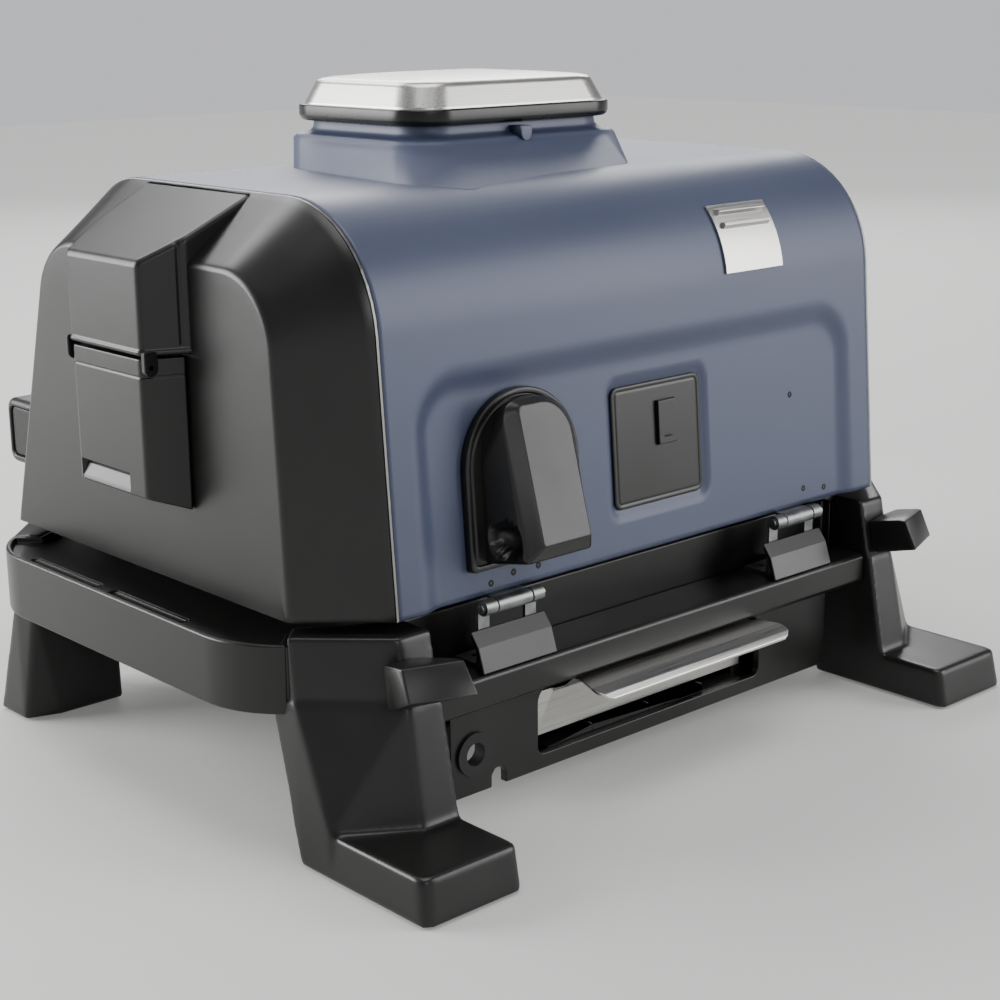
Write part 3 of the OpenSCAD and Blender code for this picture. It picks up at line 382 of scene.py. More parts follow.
def soften(node, radius, angle=32, crease=35):
    """A merged copy of a CAD part, radius millimetres on edges over angle degrees, crisp over crease."""
    mesh = frame["nodes"][node].data.copy()
    mesh.name = node + "_soft"
    work = bmesh.new()
    work.from_mesh(mesh)
    bmesh.ops.remove_doubles(work, verts=work.verts, dist=MERGE)
    bmesh.ops.dissolve_degenerate(work, dist=MERGE, edges=work.edges)
    bmesh.ops.dissolve_limit(work, angle_limit=math.radians(FLAT), use_dissolve_boundaries=False,
                             verts=work.verts, edges=work.edges)
    work.to_mesh(mesh)
    work.free()
    mesh.polygons.foreach_set("use_smooth", np.ones(len(mesh.polygons), bool))
    mesh.set_sharp_from_angle(angle=math.radians(crease))
    obj = bpy.data.objects.new(node + "_soft", mesh)
    bpy.context.collection.objects.link(obj)
    rounding = obj.modifiers.new("Edges", "BEVEL")
    rounding.width = radius * MM
    rounding.segments = 2
    rounding.limit_method = "ANGLE"
    rounding.angle_limit = math.radians(angle)
    rounding.use_clamp_overlap = False
    rounding.miter_outer = "MITER_ARC"
    rounding.harden_normals = True
    return show(obj, node)


print("a copy merges points closer than", MERGE / MM, "mm")

# %% [markdown]
# From here on, the pieces that carry the looks are worked out as surfaces. A grid of points, rows by
# columns, becomes a mesh of four-sided faces; either way of the grid may close on itself. A rounded
# outline is a list of corners, each turned into an arc; sampling it evenly lets two outlines of
# different shape be joined point to point, which is called a loft.

# %% Grids, outlines and lofts
def grid_object(name, points, loop=False, ends=(False, False), flip=False):
    """A mesh from rows x columns x 3 points in millimetres. loop closes each row, ends caps the rows."""
    rows, columns = points.shape[:2]
    index = np.arange(rows * columns).reshape(rows, columns)
    if loop:
        index = np.hstack([index, index[:, :1]])
    quads = np.stack([index[:-1, :-1], index[:-1, 1:], index[1:, 1:], index[1:, :-1]], -1)
    faces = quads.reshape(-1, 4).tolist()
    if ends[0]:
        faces.append(index[0, :columns][::-1].tolist())
    if ends[1]:
        faces.append(index[-1, :columns].tolist())
    if flip:
        faces = [face[::-1] for face in faces]
    mesh = bpy.data.meshes.new(name)
    mesh.from_pydata((points.reshape(-1, 3) * MM).tolist(), [], faces)
    mesh.polygons.foreach_set("use_smooth", np.ones(len(mesh.polygons), bool))
    mesh.update()
    obj = bpy.data.objects.new(name, mesh)
    bpy.context.collection.objects.link(obj)
    return obj


def outward(obj):
    """Merges doubled points and turns every face of a closed shell outwards."""
    work = bmesh.new()
    work.from_mesh(obj.data)
    bmesh.ops.remove_doubles(work, verts=work.verts, dist=1e-6)
    bmesh.ops.recalc_face_normals(work, faces=work.faces)
    work.to_mesh(obj.data)
    work.free()
    return obj


def thicken(obj, thickness):
    """Gives a sheet its wall, inwards from the face that is seen, and lets big faces lead the shading."""
    wall = obj.modifiers.new("Wall", "SOLIDIFY")
    wall.thickness = thickness * MM
    wall.offset = -1.0
    flatten(obj)
    return obj


def flatten(obj):
    """Shading normals follow the larger faces, so a flat face beside a small radius stays flat."""
    lead = obj.modifiers.new("Shading", "WEIGHTED_NORMAL")
    lead.keep_sharp = True
    return obj


def arc_corner(before, corner, after, radius, chords):
    """The corner as an arc: its centre lies on the bisector, at radius / sin(half the corner)."""
    before, corner, after = (np.array(p, float) for p in (before, corner, after))
    if radius <= 0:
        return corner[None]
    u = (before - corner) / np.linalg.norm(before - corner)
    v = (after - corner) / np.linalg.norm(after - corner)
    half = math.acos(np.clip(u @ v, -1, 1)) / 2
    centre = corner + (u + v) / np.linalg.norm(u + v) * radius / math.sin(half)
    first = corner + u * radius / math.tan(half) - centre
    turn = -np.sign(u[0] * v[1] - u[1] * v[0]) * (math.pi - 2 * half)
    w = np.linspace(0, turn, chords + 1)
    return centre + np.stack([first[0] * np.cos(w) - first[1] * np.sin(w),
                              first[0] * np.sin(w) + first[1] * np.cos(w)], -1)


def outline(corners, radii, chords=12):
    """A closed list of corners with a radius each, as one array of points."""
    n = len(corners)
    return np.vstack([arc_corner(corners[i - 1], corners[i], corners[(i + 1) % n], radii[i], chords)
                      for i in range(n)])


def inset(corners, t):
    """A counter-clockwise outline moved in by t, each corner along the sum of its two normals."""
    p = np.array(corners, float)
    ahead = np.roll(p, -1, 0) - p
    ahead /= np.linalg.norm(ahead, axis=1)[:, None]
    after = np.stack([ahead[:, 1], -ahead[:, 0]], -1)
    before = np.roll(after, 1, 0)
    return p - (before + after) * t / (1 + (before * after).sum(1))[:, None]


def length_along(points):
    """Distance run at each point of a path."""
    return np.concatenate([[0], np.cumsum(np.linalg.norm(np.diff(points, axis=0), axis=1))])


def resample(points, parts):
    """The same open path with parts + 1 points, spaced evenly by length."""
    run = length_along(points)
    want = np.linspace(0, run[-1], parts + 1)
    return np.stack([np.interp(want, run, points[:, k]) for k in range(points.shape[1])], -1)


def smooth_step(x):
    """0 below 0, 1 above 1, and 3x^2 - 2x^3 between."""
    x = np.clip(x, 0, 1)
    return x * x * (3 - 2 * x)


print("a rounded square has", len(outline([(1, -1), (1, 1), (-1, 1), (-1, -1)], [0.5] * 4)), "points")

# %% [markdown]
# The lid shell is one sheet pressed over a form: a leaning rear wall, an 80 mm shoulder, a flat
# roof, a sloped front. It is the cross-section carried along X. Two things are pressed into the
# rear wall: a wide shallow panel, open at its lower edge, whose sides ramp over 17 mm, and a small
# pocket for the square plate. Each is a depth worked out from the distance to its outline, pushed
# in along the wall's normal. The sheet's thickness comes after, from a Solidify modifier.

# %% Lid shell
SEAM_X, CAP_X = 223.5, 272.0          # the joint between shell and end cap, the end cap's face
LID_Z, LID_TOP = 147.0, 386.5         # its bottom edge and its roof
LID_CORNERS = [(201.0, LID_Z), (182.4, LID_TOP), (-74.0, LID_TOP), (-158.0, 330.2), (-202.0, LID_Z)]
LID_RADII = [0, 80, 62, 38, 0]
LEAN = math.atan(0.0776)              # of the rear wall
DIP = 5.2                             # millimetres that the rear panel is pressed in
RAMP = 17.0                           # width of its sloping border
POCKET = 3.0                          # further depth of the square plate's pocket
POCKET_RAMP = 3.2                     # width of that pocket's border
WALL = 3.0                            # of the shell and the end caps


def rounded_distance(x, y, half_x, half_y, radius):
    """Distance to a rounded rectangle about 0, below 0 inside it."""
    dx, dy = np.abs(x) - half_x + radius, np.abs(y) - half_y + radius
    return np.hypot(np.maximum(dx, 0), np.maximum(dy, 0)) + np.minimum(np.maximum(dx, dy), 0) - radius


def pressed(x, up):
    """Depth of the pressings at a place on the rear wall: a smooth step down across each border."""
    wide = rounded_distance(x, up + 58, 205.0, 200.0, 38.0)
    square = rounded_distance(x + 7, up - 69, 47.0, 45.0, 9.0)
    return DIP * smooth_step(-wide / RAMP) + POCKET * smooth_step(-square / POCKET_RAMP)


section = resample(outline(LID_CORNERS, LID_RADII, 40), 230)
run = length_along(section)
slope = np.gradient(section, run, axis=0)
normal = np.stack([slope[:, 1], -slope[:, 0]], -1)
normal /= np.linalg.norm(normal, axis=1)[:, None]
along = np.linspace(-SEAM_X, SEAM_X, 168)
X, UP = np.meshgrid(along, run)
depth = pressed(X, UP)
points = np.stack([X, section[:, None, 0] - normal[:, None, 0] * depth,
                   section[:, None, 1] - normal[:, None, 1] * depth], -1)
shell = grid_object("lid_shell_pressed", points, flip=True)
show(shell, "lid_shell")
thicken(shell, WALL)
print("shell grid", points.shape[:2], "deepest pressing", round(float(depth.max()), 2), "mm")

# %% [markdown]
# The end caps are mouldings that close the lid. Each begins a little inside the shell's outline and
# tapers to a smaller flat face with a crisp edge of about 2 mm. That is a loft between the two
# outlines, matched stretch by stretch: wall to wall, shoulder to corner, roof to top edge. The edge
# is a quadratic curve between the taper and the face, and the face runs straight down to the base.

# %% End caps
FACE_TOP = 347.5
FACE_CORNERS = [(158.5, LID_Z), (148.0, FACE_TOP), (-95.5, FACE_TOP), (-157.0, LID_Z)]
FACE_RADII = [0, 46, 44, 0]
STRETCHES = (34, 18, 26, 34, 26)      # points in wall, corner, top, front corner, front wall


def stretched(corners, radii, cuts):
    """An outline's points, with each stretch between cuts sampled evenly by its own count."""
    arcs = [arc_corner(corners[i - 1], corners[i], corners[(i + 1) % len(corners)], radii[i], 30)
            for i in range(len(corners))]
    parts = []
    for (first, last), count in zip(cuts(arcs), STRETCHES):
        path = np.vstack([first, last]) if len(first) == 1 and len(last) == 1 else first
        parts.append(resample(path, count)[:-1])
    return np.vstack(parts + [arcs[-1][-1:]])


def shell_cuts(a):
    """The lid's outline: wall, shoulder, roof, both front corners with the slope between, front."""
    front = np.vstack([a[2], a[3]])
    return ((a[0][:1], a[1][:1]), (a[1], a[1]), (a[1][-1:], a[2][:1]), (front, front),
            (a[3][-1:], a[4][:1]))


def face_cuts(a):
    """The face's outline: wall, corner, top, front corner, front."""
    return ((a[0][:1], a[1][:1]), (a[1], a[1]), (a[1][-1:], a[2][:1]), (a[2], a[2]),
            (a[2][-1:], a[3][:1]))


def end_cap(name, node, side):
    """Rings of the taper, its rounded edge and the face, as one sheet."""
    wide = stretched(inset(LID_CORNERS, 0.8), [0, 79.2, 61.2, 37.2, 0], shell_cuts)
    face = stretched(FACE_CORNERS, FACE_RADII, face_cuts)
    inner = stretched(inset(FACE_CORNERS, 2.4), [0, 44, 42, 0], face_cuts)
    for path in (wide, face, inner):
        path[[0, -1], 1] = LID_Z
    rings = [(SEAM_X + 2.0, wide * 0.995 + np.array([0, 0.9])), (SEAM_X + 2.6, wide)]
    for w in (0.1, 0.3, 0.5, 0.7, 0.85, 0.93):
        rings.append((SEAM_X + 2.6 + (CAP_X - SEAM_X - 2.6) * w, wide + (face - wide) * w))
    x_taper, taper = rings[-1]
    for t in np.linspace(0.2, 1, 5):
        x = (1 - t) ** 2 * x_taper + (2 * t - t * t) * CAP_X
        rings.append((x, (1 - t) ** 2 * taper + 2 * t * (1 - t) * face + t * t * inner))
    for w in (0.04, 0.2, 0.4, 0.6, 0.8, 1.0):
        lower = inner.copy()
        lower[:, 1] = inner[:, 1] + (LID_Z - inner[:, 1]) * w
        rings.append((CAP_X, lower))
    grid = np.stack([np.column_stack([np.full(len(p), side * x), p]) for x, p in rings])
    return show(thicken(grid_object(name, grid, flip=side < 0), WALL), node)


end_cap("end_cap_right_moulded", "end_cap_right", 1)
end_cap("end_cap_left_moulded", "end_cap_left", -1)
print("end caps from", sum(STRETCHES) + 1, "points a ring")

# %% [markdown]
# The chimney is a stack of rounded rectangles, like a square cup turned upside down. A ring is given
# by half its width and depth, its corner radius and its height; a list of rings, joined in order,
# makes the wall. Where an edge should be soft, a few rings sit close together round it. The collar's
# foot does not end at one height: it follows the lid, whose height is read from its cross-section. In
# plan the foot is a polygon with one corner pulled out, met by straight slopes from the collar's rim.

# %% Chimney collar
def rounded_box(half_x, half_y, radius, chords):
    """A rounded rectangle about 0, as points in its own plane."""
    return outline([(half_x, -half_y), (half_x, half_y), (-half_x, half_y), (-half_x, -half_y)],
                   [radius] * 4, chords)


def ring(half_x, half_y, radius, z):
    """One rounded rectangle at height z, as points."""
    path = rounded_box(half_x, half_y, radius, 9)
    return np.column_stack([path, np.full(len(path), float(z))])


def lid_height(y):
    """Height of the lid's surface over a place on the Y axis, between the points of its section."""
    return np.interp(y, upper[:, 0], upper[:, 1])


upper = section[section[:, 1] > 300]
upper = upper[np.argsort(upper[:, 0])]
COLLAR = [(84, 63, 24, 417.6), (86.8, 65.8, 26, 417.4), (86.4, 65.4, 26, 414.5), (86.8, 65.8, 26, 411.2),
          (88.2, 67.2, 26, 409.2), (90.4, 69.4, 26.5, 408.1), (93.4, 72.4, 27.5, 407.6),
          (95.0, 74.0, 28, 407.1), (96.0, 75.2, 28, 406.0), (97.0, 76.8, 28.4, 404.4)]
FOOT_CORNERS = [(116, -44), (121, 10), (136, 70), (136, 120), (100, 135), (0, 134), (-54, 114),
                (-84, 84), (-98, 30), (-98, -44)]
FOOT_MIDDLE = (12, 32)                # bearings of the foot's points are taken from here
PROUD = 0.1                           # millimetres that the slopes keep above the lid

rows = [ring(*levels) for levels in COLLAR]
rim = rows[-1]
edge = outline(FOOT_CORNERS, [20, 30, 12, 12, 14, 40, 30, 30, 40, 20]) - FOOT_MIDDLE
edge = edge[np.argsort(np.arctan2(edge[:, 1], edge[:, 0]))]
bearing = np.arctan2(rim[:, 1], rim[:, 0])
reach = np.interp(bearing, np.arctan2(edge[:, 1], edge[:, 0]), np.hypot(edge[:, 0], edge[:, 1]),
                  period=2 * math.pi)
foot = np.column_stack([FOOT_MIDDLE[0] + reach * np.cos(bearing), FOOT_MIDDLE[1] + reach * np.sin(bearing)])
foot = np.column_stack([foot, lid_height(foot[:, 1]) + PROUD])
for t in (0.1, 0.25, 0.4, 0.55, 0.7, 0.85, 0.94, 0.98, 1.0):
    row = rim + (foot - rim) * t
    row[:, 2] = np.maximum(row[:, 2], lid_height(row[:, 1]) + PROUD)
    rows.append(row)
sunk = rows[-1] * np.array([1.004, 1.004, 1]) - np.array([0, 0, 1.6])
collar = grid_object("chimney_collar_pressed", np.stack(rows + [sunk]), loop=True, ends=(True, False),
                     flip=True)
flatten(show(collar, "chimney_collar"))
print("collar:", len(rows), "rows of", len(rim), "points")

# %% [markdown]
# The cap is stainless sheet: it rises steeply, turns over a small radius and ends in a top that is
# crowned by three and a half millimetres, so that rain runs off. It sits in a polished black ring,
# whose edge is rounded above and below. Both are stacks of the same rings. A small tab with a rounded
# lower end hangs from the collar's rim at the rear, for the screw that holds the stack together.

# %% Screw tab, black ring and cap
TAB = np.array([(-0.5, 413.8), (-0.5, 408.5), (1.2, 405), (4.5, 403.6), (7.8, 405),
                (9.5, 408.5), (9.5, 413.8)])                       # X and Z of its outline
TAB_MIDDLE = np.array([4.5, 408.7])
RING = [(80, 58, 22, 416.4), (92.6, 70.6, 28.6, 416.4), (93.8, 71.8, 29.4, 417.2),
        (94.6, 72.6, 29.8, 418.6), (95, 73, 30, 420.2), (95, 73, 30, 425.6), (94.6, 72.6, 29.8, 426.6),
        (93.6, 71.6, 29.2, 427.1), (92.4, 70.4, 28.6, 426.8), (92, 70, 28.2, 425.5), (91.6, 69.6, 28, 421)]
CAP = [(91.2, 69.2, 26.4, 421.5), (91.2, 69.2, 26.4, 427.4), (90.7, 68.7, 26.2, 428.4),
       (85.4, 63.4, 24.6, 440.4), (84.7, 62.7, 24.4, 441.9), (83.4, 61.4, 24.0, 443.1),
       (81.2, 59.2, 23.3, 444.0), (77, 55.6, 22.0, 444.7), (62, 44, 17, 445.9), (44, 31, 12, 446.9),
       (24, 17, 6.5, 447.4), (8, 6, 2.4, 447.5)]


def solid(name, rows):
    """A closed piece through rows of points: filled at both ends, faces outwards, flats kept flat."""
    return flatten(outward(grid_object(name, np.stack(rows), loop=True, ends=(True, True))))


rows = []
for y, scale in ((64, (1, 1)), (76.2, (1, 1)), (77.2, (1, 1)), (77.8, (0.86, 0.88))):
    spread = TAB_MIDDLE + (TAB - TAB_MIDDLE) * scale
    rows.append(np.column_stack([spread[:, 0], np.full(len(TAB), y), spread[:, 1]]))
dress(solid("chimney_screw_tab", rows), "lid", "slate_blue_enamel")
show(solid("chimney_ring_moulded", [ring(*levels) for levels in RING]), "chimney_ring",
     MATERIALS["gloss_black"])
show(solid("chimney_cap_spun", [ring(*levels) for levels in CAP]), "chimney_cap")
print("chimney: ring of", len(RING), "rows, cap of", len(CAP))

# %% [markdown]
# The smoke box stands on the end cap: a hood above, whose roof slopes up to the seam, and below it a
# door that swings out. Both are bosses: a plan outline carried upwards, with its corners rounded in
# plan and its upper and lower rims turned in over a small radius. The rims may slope, since their
# height is a straight-line function of X. Beads, the parting line and the finger recess are small
# moves of the same points along the outline's normal, so they are real shapes and not just bump.

# %% Smoke box hood and door
BOX_MID = 18.0                        # of the smoke box, along Y
BOX_X = 299.0                         # its front face
PART_Z = 293.0                        # parting line between hood and door


def boss(name, plan, radii, low, high, rim, levels, dent):
    """Rings of a plan outline between two sloping rims, moved in by dent(x, y, z) along its normal."""
    path = outline(plan, radii, 6)
    path = resample(np.vstack([path, path[:1]]), 420)[:-1]
    ahead = np.roll(path, -1, 0) - np.roll(path, 1, 0)
    ahead /= np.linalg.norm(ahead, axis=1)[:, None]
    out = np.column_stack([ahead[:, 1], -ahead[:, 0]])
    quarter = np.linspace(0, math.pi / 2, 5)
    rings = [(rim * (1 - math.cos(a)), 0.0, -rim * math.sin(a)) for a in quarter[::-1]]
    rings += [(0.0, level, 0.0) for level in levels]
    rings += [(rim * (1 - math.cos(a)), 1.0, rim * math.sin(a)) for a in quarter]
    rows = []
    for tuck, level, lift in rings:
        spot = path - out * tuck
        z0, z1 = low(spot[:, 0]) + rim, high(spot[:, 0]) - rim
        z = z0 + (z1 - z0) * level + lift
        spot = spot - out * dent(spot[:, 0], spot[:, 1], z)[:, None]
        rows.append(np.column_stack([spot, z]))
    return solid(name, rows)


def hood_dent(x, y, z):
    """The rolled lip at the hood's lower rim stands out; a groove runs down the flanks at the cap."""
    lip = -1.1 * np.exp(-((z - PART_Z - 2.6) / 1.7) ** 4)
    groove = 0.9 * np.exp(-((x - 276.6) / 0.8) ** 2)
    return lip + groove * (z > PART_Z + 6)


def door_dent(x, y, z):
    """A parting groove under the top band, and the finger recess: a slope that deepens upwards."""
    line = 0.6 * np.exp(-((z - 281.2) / 0.55) ** 2)
    inside = (x > BOX_X - 6) & (np.abs(y - 10.5) < 27.5) & (z > 208.5) & (z < 219.5)
    return line + np.where(inside, 4.2 * (z - 208.5) / 11.0, 0.0)


hood_levels = np.concatenate([np.linspace(0, 0.1, 9), np.linspace(0.12, 1, 14)[:-1], [0.995]])
hood = boss("smoke_hood_moulded",
            [(BOX_X, BOX_MID - 40), (BOX_X, BOX_MID + 40), (272.0, BOX_MID + 52.6),
             (226.0, BOX_MID + 57.5), (226.0, BOX_MID - 55.5), (272.0, BOX_MID - 51.6)],
            [5.0, 5.0, 4.0, 0.5, 0.5, 4.0], lambda x: np.full_like(x, PART_Z + 0.4),
            lambda x: 350.0 + (BOX_X - x) * 0.4932, 3.2, hood_levels, hood_dent)
show(hood, "smoke_box_hood")

door_levels = np.sort(np.concatenate([
    np.linspace(0, 1, 20)[1:], [0.0, 0.026, 0.028, 0.06, 0.09, 0.12, 0.149, 0.151, 0.155],
    0.884 + np.linspace(-0.02, 0.02, 9)]))
door = boss("smoke_door_moulded",
            [(BOX_X, BOX_MID - 39), (BOX_X, BOX_MID + 39), (273.0, BOX_MID + 48.6),
             (273.0, BOX_MID - 47.6)],
            [5.0, 5.0, 1.0, 1.0], lambda x: 207.0 - (BOX_X - x) * 0.37,
            lambda x: np.full_like(x, PART_Z - 0.8), 1.0, door_levels, door_dent)
show(door, "smoke_box_door")

# The door turns on a pin that two ears hold, one on each side.
EAR = outline([(290.0, 282.0), (299.5, 282.0), (299.5, 297.0), (290.0, 297.0)], [4.4, 4.4, 1, 1], 6)
for side, flank in (("rear", 1), ("front", -1)):
    rows = []
    for tuck, step in ((0, 0), (0, 2.6), (0.15, 3.1), (0.6, 3.4)):
        path = inset(EAR, tuck) if tuck else EAR
        rows.append(np.column_stack([path[:, 0], np.full(len(path), BOX_MID + flank * (41.4 + step)),
                                     path[:, 1]]))
    dress(solid(f"smoke_door_ear_{side}", rows), "lid", "charcoal_abs")
print("smoke box:", len(hood.data.vertices), "and", len(door.data.vertices), "points")

# %% [markdown]
# The handle is a moulded bar, nearly square in section, with a shallow frame sunk in each end and a
# polished plate set in the frame. Its rings run along X: the section grows over a 4 mm radius at each
# end, and inside the frame a few smaller rings step back, so the sunk end is one with the bar.

# %% Handle
def section_ring(half_y, half_z, radius, x, middle):
    """A rounded rectangle across X, about a middle point (y, z)."""
    path = rounded_box(half_y, half_z, radius, 8)
    return np.column_stack([np.full(len(path), float(x)), path[:, 0] + middle[0], path[:, 1] + middle[1]])


low, high = (np.array(corner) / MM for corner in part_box("handle_bar"))
bar_middle = ((low[1] + high[1]) / 2, (low[2] + high[2]) / 2)
half_y, half_z, end = (high[1] - low[1]) / 2, (high[2] - low[2]) / 2, high[0]

# Each ring: how far it lies inside the bar's outline, its corner radius, its place beyond the end.
BAR_END = [(6.4, 4.6, -2.6), (6.2, 4.8, -2.4), (6.0, 5.0, -0.9), (5.4, 5.6, -0.2), (4.6, 6.0, 0.0),
           (3.4, 6.6, -0.1), (1.6, 7.6, -1.0), (0.5, 8.5, -2.4), (0.0, 9.0, -4.4)]
PLATE_END = [(6.6, 4.4, -2.9), (6.6, 4.4, -1.8), (7.2, 4.4, -1.4), (9.0, 4.4, -1.3)]

rows = [section_ring(half_y - t, half_z - t, r, end + x, bar_middle) for t, r, x in BAR_END]
rows += [row * np.array([-1, 1, 1]) for row in rows[::-1]]
show(solid("handle_bar_moulded", rows), "handle_bar")

plates = []
for name, side in (("handle_end_plate_right", 1), ("handle_end_plate_left", -1)):
    plates.append(solid(name, [section_ring(half_y - t, half_z - t, r, side * (end + x), bar_middle)
                               for t, r, x in PLATE_END]))
show(plates[0], "handle_end_trims")
dress(plates[1], "lid", slot_of["handle_end_trims"])
print("handle bar", round(2 * end), "mm long,", round(2 * half_y), "by", round(2 * half_z))

# %% [markdown]
# The rear fittings sit in the pressed panel, and each is placed in the wall's own frame: along the
# lid, up the wall, and out of it. The cable hood is a moulded cover on a round-topped plate. The
# plate's rim is rolled over a small radius and a groove runs inside it, and both are a few closely
# spaced copies of one arch-shaped outline.

# %% The wall's frame and the hood's back plate
def on_wall(x, up, out):
    """A point given along the lid, up its leaning rear wall and out of it, as X, Y, Z."""
    x, up, out = np.broadcast_arrays(x, up, out)
    return np.stack([x, LID_CORNERS[0][0] - up * math.sin(LEAN) + out * math.cos(LEAN),
                     LID_Z + up * math.cos(LEAN) + out * math.sin(LEAN)], -1)


def arch(width, height, foot, radius=3.0):
    """An outline flat below and round above: straight sides of height - width / 2, then half a circle."""
    turn = np.linspace(0, math.pi, 33)
    half = width / 2
    top = np.column_stack([half * np.cos(turn), height - half + half * np.sin(turn)])
    side = np.linspace(radius, height - half, 14)[:-1]
    low = np.linspace(-math.pi / 2, 0, 5)
    corner = np.column_stack([half - radius + radius * np.cos(low), radius + radius * np.sin(low)])
    right = np.vstack([corner, np.column_stack([np.full(len(side), half), side])[1:]])
    left = right[::-1] * np.array([-1, 1])
    base = np.column_stack([np.linspace(-half + radius, half - radius, 12)[1:-1], np.zeros(10)])
    return np.vstack([right, top, left, base]) + np.array([0, foot])


def wall_boss(name, paths, place):
    """A piece through rings given as (outline, out) in the wall's frame about a place on it."""
    return solid(name, [on_wall(path[:, 0] + place[0], path[:, 1] + place[1], out) for path, out in paths])


rings = [(arch(94 - 2 * t, 107 - 2 * t, t), out) for t, out in
         ((0, -DIP - 0.5), (0, -0.6), (0.4, 0.2), (1.2, 0.5), (3.2, 0.5), (3.7, 0.1), (4.1, -0.7),
          (4.8, -0.7), (5.3, 0.1), (5.8, 0.4))]
show(wall_boss("hood_back_plate", rings, (119, 16)), "hood_plate")
print("back plate:", len(rings), "rings of", len(rings[0][0]), "points")

# %% [markdown]
# The cable hood itself is a set of rings between its foot and its flat face. Four numbers place the
# sides of a ring and three round its corners; they change with the depth as a small table says. The
# face leans, since the hood is deeper low down, and an oval is sunk in the flank towards +X, where
# the lead comes out. A small steel clip shows at the top.

# %% Cable hood
HOOD_LEVELS = np.array([   # share of the depth; then X low, X high, foot, top and corner radii, in mm
    [0.00, 80.0, 154.0, 20.0, 118.0, 3.0, 36.5, 36.5],
    [0.08, 80.6, 153.8, 20.0, 117.8, 3.0, 36.0, 36.0],
    [0.76, 93.0, 149.0, 22.0, 118.6, 3.0, 26.0, 13.0],
    [0.80, 94.5, 148.0, 22.8, 118.4, 2.8, 25.0, 10.0],
    [0.97, 99.0, 140.6, 30.6, 116.0, 2.0, 21.0, 4.6],
    [1.00, 100.2, 139.2, 31.8, 115.2, 1.8, 20.0, 4.0]])


DEEPEST, SLANT = 36.0, 0.198         # depth at the foot, and how much of it each millimetre up takes
MOUTH_UP, MOUTH_OUT = 37.0, 15.0     # middle of the oval where the lead comes out
MOUTH_DEPTH = 10.0


def hood_ring(level):
    """The hood's outline at a share of its depth, with the oval sunk as sqrt(1 - distance ^ 3)."""
    x0, x1, foot, top, low, far, near = (np.interp(level, HOOD_LEVELS[:, 0], HOOD_LEVELS[:, k])
                                         for k in range(1, 8))
    corners = [((x1 - low, foot + low), low, -90), ((x1 - near, top - near), near, 0),
               ((x0 + far, top - far), far, 90), ((x0 + low, foot + low), low, 180)]
    arcs = []
    for (cx, cy), radius, first in corners:
        turn = np.radians(first + np.linspace(0, 90, 11))
        arcs.append(np.column_stack([cx + radius * np.cos(turn), cy + radius * np.sin(turn)]))
    path = np.vstack([piece for k, arc in enumerate(arcs)
                      for piece in (arc, np.linspace(arc[-1], arcs[(k + 1) % 4][0], 26)[1:-1])])
    out = level * (DEEPEST - SLANT * (path[:, 1] - 32.0))
    near_flank = (path[:, 0] > 138) & (level < 0.79)
    oval = np.hypot((path[:, 1] - MOUTH_UP + 0.1 * out) / 9.5, (out - MOUTH_OUT) / 11.5)
    path[:, 0] -= near_flank * MOUTH_DEPTH * np.clip(1.0 - oval ** 3, 0, 1) ** 0.5
    return on_wall(path[:, 0], path[:, 1], out - 0.5 * (level == 0))


shares = np.unique([*np.linspace(0, 0.76, 30), 0.78, 0.8, 0.83, 0.9, 0.96, 0.97, 0.985, 1.0])
rows = [hood_ring(level) for level in shares]
middle = rows[-1].mean(0)
rows.append(middle + (rows[-1] - middle) * 0.97 + np.array([0, 0.25, 0.02]))
show(solid("cable_hood_moulded", rows), "cable_hood")

clip = np.array([(123.0, 116.2, 15.6), (118.4, 117.4, 15.0), (114.4, 113.6, 15.4), (115.8, 112.4, 16),
                 (119, 115.6, 15.8), (122.8, 114.6, 16)])          # along the lid, up and out
rows = [on_wall(clip[:, 0], clip[:, 1], clip[:, 2] + thickness) for thickness in (0, 1.2)]
dress(solid("hood_lead_clip", rows), "lid", "plated_steel")
print("cable hood:", len(shares) + 1, "rings")

# %% [markdown]
# The square plate lies in its own pocket of the wall, with a grooved rim like the hood's plate, and
# carries a raised bracket in the shape of a flat C. The screws beside the fittings have a domed head
# with a deep socket. Each is a profile turned about its own axis, and stands as deep in the wall as
# the pressing has taken the sheet there.

# %% Square plate, bracket and screws
floor_out = -DIP - POCKET
rings = [(rounded_box(42 - t, 40 - t, max(6 - t, 1.5), 5), floor_out + out) for t, out in
         ((0, -0.3), (0, 1.2), (0.4, 1.7), (1.1, 1.9), (2.6, 1.9), (3.0, 1.4), (3.5, 1.4), (3.9, 1.8),
          (5, 1.8))]
show(wall_boss("square_plate_moulded", rings, (-7, 69)), "rear_vent_plate")

C_SHAPE = [(8.5, 14.5), (-8.5, 14.5), (-8.5, 10.5), (3.8, 10.5), (3.8, -10.5), (-8.5, -10.5),
           (-8.5, -14.5), (8.5, -14.5)]
bracket = outline(C_SHAPE, [0.6] * 8, 3)
rings = [(bracket * scale, floor_out + out)
         for scale, out in ((1.03, 1.6), (1.0, 3.8), (0.985, 4.3), (0.95, 4.4))]
dress(wall_boss("square_plate_bracket", rings, (-14.5, 81)), "lid", "charcoal_abs")

